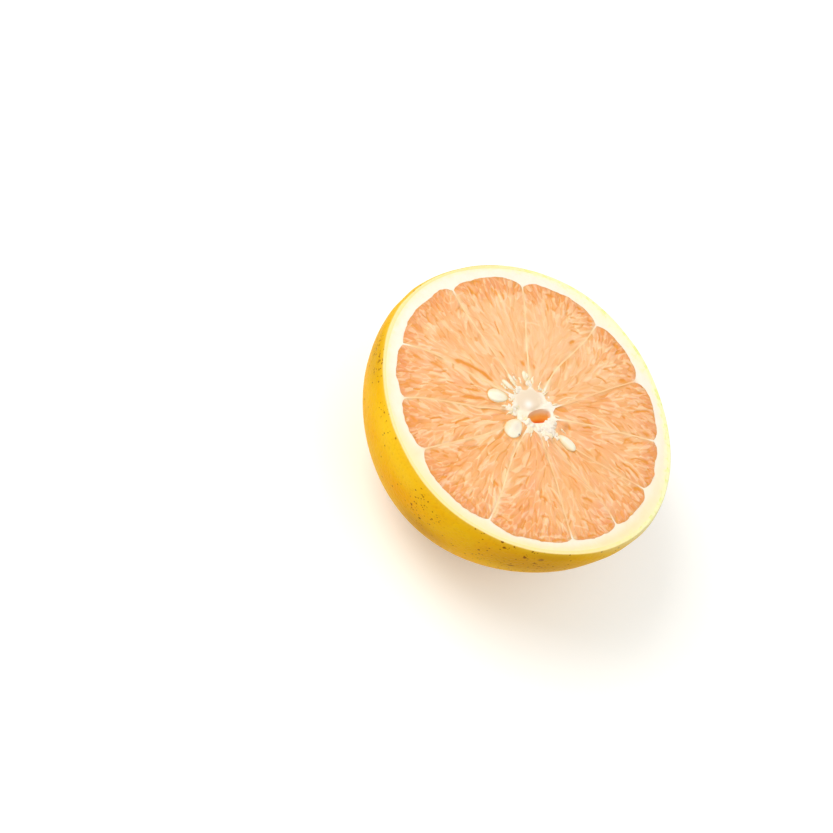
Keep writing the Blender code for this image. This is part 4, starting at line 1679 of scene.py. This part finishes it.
@functools.cache
def mottle_group() -> bpy.types.NodeTree:
    """Return the group for grown colour: two colours that mingle in soft patches of two sizes."""
    wiring, given, wanted = new_group(
        "grown mottle",
        {"Place": "Vector", "First": "Color", "Second": "Color", "Scale": "Float", "Contrast": "Float"},
        {"Colour": "Color", "Share": "Float"},
    )
    coarse = wiring.noise(given["Place"], given["Scale"], 4.0)
    fine = wiring.noise(given["Place"], wiring.times(given["Scale"], 4.3), 3.0)
    both = wiring.plus(wiring.times(coarse, 0.65), wiring.times(fine, 0.35))
    spread = wiring.times(wiring.math("SUBTRACT", both, 0.5), given["Contrast"])
    share = wiring.node("ShaderNodeClamp")
    wiring.feed(share.inputs[0], wiring.plus(spread, 0.5))
    wiring.feed(wanted["Colour"], wiring.blend(share.outputs[0], given["First"], given["Second"]))
    wiring.feed(wanted["Share"], share.outputs[0])
    return wiring.tree


@functools.cache
def grain_group() -> bpy.types.NodeTree:
    """Return the group for fine relief: a height made of two sizes of noise."""
    wiring, given, wanted = new_group(
        "fine relief", {"Place": "Vector", "Scale": "Float", "Fineness": "Float"}, {"Height": "Float"}
    )
    coarse = wiring.noise(given["Place"], given["Scale"], 2.0)
    fine = wiring.noise(given["Place"], wiring.times(given["Scale"], 5.0), 2.0)
    wiring.feed(wanted["Height"], wiring.plus(coarse, wiring.times(fine, given["Fineness"])))
    return wiring.tree


@functools.cache
def speck_group() -> bpy.types.NodeTree:
    """Return the group for specks: small irregular spots scattered at a chance from 0 to 1."""
    wiring, given, wanted = new_group(
        "specks",
        {"Place": "Vector", "Scale": "Float", "Chance": "Float", "Size": "Float"},
        {"Speck": "Float"},
    )
    cells = wiring.node("ShaderNodeTexVoronoi")
    wiring.feed(cells.inputs["Vector"], given["Place"])
    wiring.feed(cells.inputs["Scale"], given["Scale"])
    own = wiring.node("ShaderNodeSeparateColor")
    wiring.feed(own.inputs[0], cells.outputs["Color"])
    ragged = wiring.noise(given["Place"], 2400.0, 1.0)
    reach = wiring.plus(cells.outputs["Distance"], wiring.times(ragged, 0.2))
    size = wiring.times(wiring.plus(own.outputs[1], 0.6), given["Size"])
    spot = wiring.math("LESS_THAN", wiring.math("SUBTRACT", reach, 0.1), size)
    chosen = wiring.math("LESS_THAN", own.outputs[0], given["Chance"])
    wiring.feed(wanted["Speck"], wiring.times(spot, chosen))
    return wiring.tree


@dataclass(frozen=True)
class Flesh:
    """How light goes into a surface: its share and how far each colour travels, and its gloss."""

    share: float
    reach: tuple[float, float, float]
    scale: float
    specular: float


def new_material(name: str, flesh: Flesh | None = None) -> tuple[bpy.types.Material, Wiring, bpy.types.Node]:
    """Return a new material, its wiring and its shader, which is set up for the flesh."""
    material = bpy.data.materials.new(name)
    material.use_nodes = True
    shader = material.node_tree.nodes["Principled BSDF"]
    if flesh:
        shader.inputs["Subsurface Weight"].default_value = flesh.share
        shader.inputs["Subsurface Radius"].default_value = flesh.reach
        shader.inputs["Subsurface Scale"].default_value = flesh.scale * MM
        shader.inputs["Specular IOR Level"].default_value = flesh.specular
    return material, Wiring(material.node_tree), shader


@dataclass(frozen=True)
class Relief:
    """How deep a finish's relief is, in millimetres, and how strongly it shows."""

    depth: float
    strength: float

    def feed(
        self, wiring: Wiring, shader: bpy.types.Node, colour: Socket, rough: Socket, height: Socket
    ) -> None:
        """Feed the shader its colour, its roughness, and a height as relief."""
        wiring.feed(shader.inputs["Base Color"], colour)
        wiring.feed(shader.inputs["Roughness"], rough)
        made = wiring.node("ShaderNodeBump")
        made.inputs["Strength"].default_value = self.strength
        made.inputs["Distance"].default_value = self.depth * MM
        wiring.feed(made.inputs["Height"], height)
        wiring.feed(shader.inputs["Normal"], made.outputs[0])


@dataclass(frozen=True)
class PulpFinish:
    """Wet orange flesh: pale where it is cut smooth, deeper in its grooves, on its sacs' lower sides and at
    its outer edge as painted shade, pink near the pith, with painted highlights on its crests.
    """

    pale: Colour = (0.86, 0.472, 0.228, 1)
    deep: Colour = (0.78, 0.31, 0.055, 1)
    pink: Colour = (0.83, 0.385, 0.20, 1)
    sunny: Colour = (0.86, 0.52, 0.22, 1)
    light: Colour = (0.87, 0.58, 0.33, 1)
    rim_pink: Colour = (0.745, 0.285, 0.104, 1)
    skin: Colour = (0.92, 0.68, 0.41, 1)
    # groove: painted shade colour for open grooves and partings
    groove: Colour = (0.74, 0.265, 0.020, 1)
    # painted shade colour along the pulp's outer edge
    hem_shade: Colour = (0.66, 0.24, 0.07, 1)
    # colour of the brown marks, partly stains and partly painted shade
    brown: Colour = (0.62, 0.27, 0.08, 1)
    flesh: Flesh = Flesh(0.5, (1.0, 0.42, 0.18), 1.3, 0.4)
    relief: Relief = Relief(0.06, 0.5)

    @functools.cache
    def material(self) -> bpy.types.Material:
        """Return the material, made once."""
        material, wiring, shader = new_material("wet pulp", self.flesh)
        grain = wiring.vector("grain")
        streaks = wiring.noise(grain, 1.0, 3.0, (0.3, 2.2, 1.0))
        threads = wiring.noise(grain, 1.0, 2.0, (0.7, 7.0, 1.0))
        tone = wiring.math("SUBTRACT", wiring.plus("tone", wiring.times(streaks, 0.35)), 0.12)
        pale_lines = wiring.times("wall", wiring.ramp(threads, 0.28, 0.60))
        colour = wiring.layers(
            self.pale,
            ("blush", 0.6, self.pink),
            ("sun", 0.4, self.sunny),
            ("light", 1.0, self.light),
            ("ring", 0.78, self.rim_pink),
            # tone carries painted shade on the sacs' lower sides, in the furrows and in the long grooves
            (tone, 1.0, self.deep),
            (pale_lines, 0.68, self.skin),
            # painted highlight on the crests and beside the grooves
            ("crest", 0.5, self.skin),
            ("veil", 0.8, self.skin),
            # painted shade in the open grooves and partings
            ("gap", 0.85, self.groove),
            # painted shade along the outer edge
            ("hem_shade", 0.6, self.hem_shade),
            # brown marks, partly painted shade
            ("brown", 0.75, self.brown),
        )
        rough = wiring.plus(wiring.times(streaks, 0.22), 0.26)
        height = wiring.plus(threads, wiring.times(streaks, 1.5))
        self.relief.feed(wiring, shader, colour, rough, height)
        return material


@dataclass(frozen=True)
class TissueFinish:
    """White tissue: dry and spongy at the pith, smooth on the plug, tinged by juice where it is thin; the
    hollow has painted shade near its top and a painted orange glow deeper down.
    """

    white: Colour = (0.91, 0.822, 0.73, 1)
    cream: Colour = (0.89, 0.765, 0.59, 1)
    lemon: Colour = (0.87, 0.70, 0.37, 1)
    # painted highlight colour for the plug's brightest spot
    shine: Colour = (0.90, 0.84, 0.76, 1)
    thin: Colour = (0.93, 0.47, 0.20, 1)
    clear: Colour = (0.96, 0.69, 0.38, 1)
    zest: Colour = (0.86, 0.85, 0.50, 1)
    warm_zest: Colour = (0.88, 0.77, 0.44, 1)
    gland: Colour = (0.74, 0.76, 0.20, 1)
    plug: Colour = (0.77, 0.63, 0.465, 1)
    # colour of the brown marks, partly stains and partly painted shade
    brown: Colour = (0.58, 0.30, 0.11, 1)
    # in the hollow: tan is painted shade on its upper wall, amber and orange are painted light glowing
    # through the flesh deeper down
    shaded_tan: Colour = (0.80, 0.53, 0.32, 1)
    glowing_amber: Colour = (0.72, 0.33, 0.06, 1)
    orange: Colour = (0.72, 0.17, 0.001, 1)
    flesh: Flesh = Flesh(0.30, (1.0, 0.93, 0.85), 0.35, 0.3)
    relief: Relief = Relief(0.12, 0.5)
    # how strongly the hollow glows, as painted light
    glow: float = 0.30

    @functools.cache
    def material(self) -> bpy.types.Material:
        """Return the material, made once."""
        material, wiring, shader = new_material("white tissue", self.flesh)
        place = wiring.place()
        mottle, _ = wiring.use(
            mottle_group(), Place=place, First=self.white, Second=self.cream, Scale=420.0, Contrast=1.6
        )
        yellow = wiring.times(wiring.plus(wiring.times("lemon", 0.62), 0.08), wiring.plus("pith", 0.3))
        glands = wiring.times("zest", wiring.ramp(wiring.noise(place, 620.0, 1.0), 0.54, 0.68))
        glands = wiring.times(glands, wiring.plus(wiring.times("north", 0.35), 0.12))
        deep = wiring.mask("deep")
        sunk = wiring.ramp(deep, 2.6, 5.2)
        colour = wiring.layers(
            mottle,
            (yellow, 1.0, self.lemon),
            ("zest", 0.65, wiring.blend("north", self.warm_zest, self.zest)),
            (glands, 1.0, self.gland),
            ("thin", 0.95, wiring.blend("show", self.thin, self.clear)),
            # the plug, with a painted highlight on its brightest spot
            ("plug", 1.0, wiring.blend("shine", self.plug, self.shine)),
            # brown marks, partly painted shade
            ("brown", 0.7, self.brown),
            # painted shade, then painted glow, deeper in the hollow
            (wiring.ramp(deep, 0.1, 0.9), 1.0, self.shaded_tan),
            (wiring.ramp(deep, 0.9, 2.4), 1.0, self.glowing_amber),
            (sunk, 1.0, self.orange),
        )
        # the hollow glows though it is no lamp: painted light seen through the flesh
        lit = wiring.blend(wiring.ramp(deep, 0.6, 3.0), (0, 0, 0, 1), self.glowing_amber)
        wiring.feed(shader.inputs["Emission Color"], wiring.blend(sunk, lit, self.orange))
        shader.inputs["Emission Strength"].default_value = self.glow
        rough = wiring.math("SUBTRACT", 0.62, wiring.times("plug", 0.25))
        (grain,) = wiring.use(grain_group(), Place=place, Scale=1500.0, Fineness=0.4)
        height = wiring.times(grain, wiring.math("SUBTRACT", 1.0, "plug"))
        self.relief.feed(wiring, shader, colour, rough, height)
        return material


@dataclass(frozen=True)
class RindFinish:
    """Glossy yellow rind with oil glands, olive and golden patches, and dark specks."""

    golden: Colour = (0.76, 0.355, 0.003, 1)
    lemon: Colour = (0.76, 0.44, 0.004, 1)
    orange: Colour = (0.76, 0.29, 0.002, 1)
    olive: Colour = (0.58, 0.31, 0.002, 1)
    # colour of the rind's brown patches, partly painted shade on the lower rind
    brown: Colour = (0.44, 0.19, 0.004, 1)
    blemish: Colour = (0.24, 0.09, 0.015, 1)
    speck: Colour = (0.22, 0.065, 0.002, 1)
    pale: Colour = (0.80, 0.50, 0.018, 1)
    pore: Colour = (0.56, 0.25, 0.002, 1)
    edge: Colour = (0.70, 0.44, 0.030, 1)
    rim: Colour = (0.88, 0.72, 0.33, 1)
    far: Colour = (0.86, 0.85, 0.50, 1)
    green: Colour = (0.72, 0.76, 0.18, 1)
    scar: Colour = (0.30, 0.20, 0.09, 1)
    flesh: Flesh = Flesh(0.06, (1.0, 0.6, 0.1), 0.8, 0.02)
    relief: Relief = Relief(0.14, 0.7)

    def material(self) -> bpy.types.Material:
        """Return the material."""
        material, wiring, shader = new_material("yellow rind", self.flesh)
        place = wiring.place()
        rim = wiring.mask("rim")
        mottle, _ = wiring.use(
            mottle_group(), Place=place, First=self.golden, Second=self.lemon, Scale=70.0, Contrast=2.4
        )
        freckle = wiring.noise(place, 900.0, 2.0)
        glands = wiring.node("ShaderNodeTexVoronoi", feature="SMOOTH_F1")
        wiring.feed(glands.inputs["Vector"], place)
        glands.inputs["Scale"].default_value = 950.0
        pits = wiring.ramp(glands.outputs["Distance"], 0.0, 0.55)
        olive = wiring.plus("olive", wiring.times(freckle, 0.35))
        stain = wiring.ramp(wiring.times("blemish", wiring.plus(freckle, 0.5)), 0.2, 0.8)
        flecks = wiring.ramp(wiring.noise(place, 480.0, 1.0), 0.50, 0.68)
        flecks = wiring.times(flecks, wiring.ramp(rim, 0.02, 0.3))
        flecks = wiring.times(flecks, wiring.plus(wiring.times("north", 0.45), 0.15))
        colour = wiring.layers(
            mottle,
            # orange patches, one partly painted reflected light
            (wiring.ramp("orange", 0.05, 1.1), 0.5, self.orange),
            ("lemon", 0.6, self.pale),
            (wiring.ramp(olive, 0.2, 1.2), 0.8, self.olive),
            # brown patches, partly painted shade on the lower rind
            (wiring.ramp("brown", 0.1, 1.2), 0.7, self.brown),
            (wiring.ramp(pits, 0.75, 0.1), 0.22, self.pore),
            ("edge", 0.55, self.edge),
            (wiring.ramp(rim, 0.0, 0.5), 1.0, self.rim),
            (self._specks(wiring, place, rim), 0.95, self.speck),
            (stain, 0.8, self.blemish),
            ("far", 0.85, self.far),
            (flecks, 1.0, self.green),
            ("scar", 1.0, self.scar),
        )
        rough = wiring.plus(wiring.times(freckle, 0.25), 0.28)
        (grain,) = wiring.use(grain_group(), Place=place, Scale=320.0, Fineness=0.25)
        self.relief.feed(wiring, shader, colour, rough, wiring.plus(pits, wiring.times(grain, 1.6)))
        return material

    @staticmethod
    def _specks(wiring: Wiring, place: Socket, rim: Socket) -> Socket:
        """Return where the dark specks are: of two sizes, in clusters, and none on the rim."""
        clusters = wiring.ramp(wiring.noise(place, 190.0, 3.0), 0.38, 0.62)
        chance = wiring.times("speckled", wiring.plus(clusters, 0.12))
        few, many = wiring.times(chance, 0.2), wiring.times(chance, 0.35)
        (large,) = wiring.use(speck_group(), Place=place, Scale=620.0, Chance=few, Size=0.25)
        (small,) = wiring.use(speck_group(), Place=place, Scale=1350.0, Chance=many, Size=0.36)
        specks = wiring.math("MAXIMUM", large, wiring.times(small, 0.8))
        return wiring.times(specks, wiring.ramp(rim, 0.35, 0.1))


@dataclass(frozen=True)
class SeedFinish:
    """Cream seeds with a damp gloss and a thin yellowish husk."""

    cream: Colour = (0.84, 0.77, 0.56, 1)
    white: Colour = (0.86, 0.83, 0.69, 1)
    dull: Colour = (0.78, 0.68, 0.55, 1)
    yellow: Colour = (0.78, 0.55, 0.25, 1)
    spot: Colour = (0.20, 0.10, 0.03, 1)
    flesh: Flesh = Flesh(0.25, (1.0, 0.75, 0.4), 0.7, 0.4)
    relief: Relief = Relief(0.09, 0.7)

    @functools.cache
    def material(self) -> bpy.types.Material:
        """Return the material, made once."""
        material, wiring, shader = new_material("cream seed", self.flesh)
        place = wiring.place()
        mottle, share = wiring.use(
            mottle_group(), Place=place, First=self.white, Second=self.cream, Scale=520.0, Contrast=2.0
        )
        colour = wiring.layers(
            mottle,
            (wiring.ramp("husk", 0.75, 1.0), 0.5, self.yellow),
            ("pointed", 0.5, self.yellow),
            ("dull", 1.0, self.dull),
            ("edge", 0.7, self.yellow),
            (wiring.ramp("spot", 0.3, 0.8), 1.0, self.spot),
        )
        (grain,) = wiring.use(grain_group(), Place=place, Scale=900.0, Fineness=0.4)
        self.relief.feed(wiring, shader, colour, wiring.plus(wiring.times(share, 0.2), 0.26), grain)
        return material


@dataclass(frozen=True)
class FloorFinish:
    """A pale matt floor that looks a little lighter than it lights."""

    colour: Colour = (0.955, 0.96, 0.92, 1)
    shade: float = 0.985
    roughness: float = 0.9
    specular: float = 0.1
    glow: float = 0.13

    def material(self) -> bpy.types.Material:
        """Return the material."""
        material, wiring, shader = new_material("pale floor")
        grain = wiring.noise(wiring.place(), 30.0)
        darker = (*(self.shade * value for value in self.colour[:3]), 1)
        wiring.feed(shader.inputs["Base Color"], wiring.blend(grain, self.colour, darker))
        shader.inputs["Roughness"].default_value = self.roughness
        shader.inputs["Specular IOR Level"].default_value = self.specular
        shader.inputs["Emission Color"].default_value = (1, 1, 1, 1)
        seen = wiring.node("ShaderNodeLightPath").outputs["Is Camera Ray"]
        wiring.feed(shader.inputs["Emission Strength"], wiring.times(seen, self.glow))
        return material


@dataclass(frozen=True)
class SoftLight:
    """A square studio light: the way it comes from as seen in the picture, its size and power."""

    right: float
    up: float
    towards: float
    distance: float
    size: float
    power: float


@dataclass(frozen=True)
class Studio:
    """The floor, the light and the camera."""

    form: FruitForm
    elevation: float = 49.7
    distance: float = 546.0
    aim: Pair = (-21.4, -36.6)
    roll: float = 43.65
    focal_length: float = 74.2
    sensor: float = 36.0
    nearest_seen: float = 0.01
    world: float = 0.77
    floor_size: float = 6.0
    lights: tuple[SoftLight, ...] = (
        SoftLight(-0.32, 0.68, 0.72, 0.9, 0.55, 5.10),
        SoftLight(0.6, 0.1, 0.9, 1.1, 0.9, 1.1),
    )

    def build(self) -> None:
        """Set up the stage."""
        scene = bpy.context.scene
        scene.view_settings.view_transform = "Standard"
        camera = bpy.data.objects.new("camera", bpy.data.cameras.new("camera"))
        scene.collection.objects.link(camera)
        camera.data.lens = self.focal_length
        camera.data.sensor_width = self.sensor
        camera.data.clip_start = self.nearest_seen
        tilt = math.radians(self.elevation)
        centre = Vector((0, 0, self.form.cut)) * MM
        camera.location = centre + Vector((0, -math.cos(tilt), math.sin(tilt))) * self.distance * MM
        target = Vector((*self.aim, self.form.cut)) * MM
        look = (target - camera.location).to_track_quat("-Z", "Y")
        turn = look @ Quaternion((0, 0, 1), math.radians(self.roll))
        camera.rotation_mode = "QUATERNION"
        camera.rotation_quaternion = turn
        scene.camera = camera

        world = bpy.data.worlds.new("studio")
        world.use_nodes = True
        world.node_tree.nodes["Background"].inputs["Color"].default_value = (1, 1, 1, 1)
        world.node_tree.nodes["Background"].inputs["Strength"].default_value = self.world
        scene.world = world

        sight = turn.to_matrix()
        for number, light in enumerate(self.lights):
            lamp = bpy.data.lights.new(f"soft_light_{number + 1}", "AREA")
            lamp.size = light.size
            lamp.energy = light.power
            holder = bpy.data.objects.new(lamp.name, lamp)
            scene.collection.objects.link(holder)
            way = (sight @ Vector((light.right, light.up, light.towards))).normalized()
            holder.location = centre + way * light.distance
            holder.rotation_mode = "QUATERNION"
            holder.rotation_quaternion = (-way).to_track_quat("-Z", "Y")

        mesh = bpy.data.meshes.new("floor")
        half = self.floor_size / 2
        corners = [(-half, -half, 0), (half, -half, 0), (half, half, 0), (-half, half, 0)]
        mesh.from_pydata(corners, [], [(0, 1, 2, 3)])
        mesh.materials.append(FloorFinish().material())
        floor = bpy.data.objects.new("floor", mesh)
        scene.collection.objects.link(floor)


def main() -> None:
    """Build the half grapefruit and its studio, and note the size of the result."""
    logging.basicConfig(level=logging.INFO, format="%(message)s")
    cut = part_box("pith_and_membranes")[1].z / MM
    form = FruitForm(cut)
    layout = CutLayout(form)
    seeds = Seeds(form)
    pulp = Pulp(layout, seeds.sizes)
    tissue = TissueFinish()
    pieces = [Rind(form).build(RindFinish())]
    pieces.append(WhiteTissue(layout, pulp, seeds.sizes).build(tissue))
    pieces.append(CoreFibres(form).build(tissue))
    pieces.append(CoreCrumbs(form).build(tissue))
    pieces += [pulp.build(number, PulpFinish()) for number in range(len(layout.membranes))]
    pieces += [seeds.build(size, SeedFinish()) for size in seeds.sizes]
    for piece in pieces:
        LOG.info("%s: %d faces", piece.name, len(piece.data.polygons))
    Studio(form).build()

    bpy.context.view_layer.update()


if __name__ == "__main__":
    main()
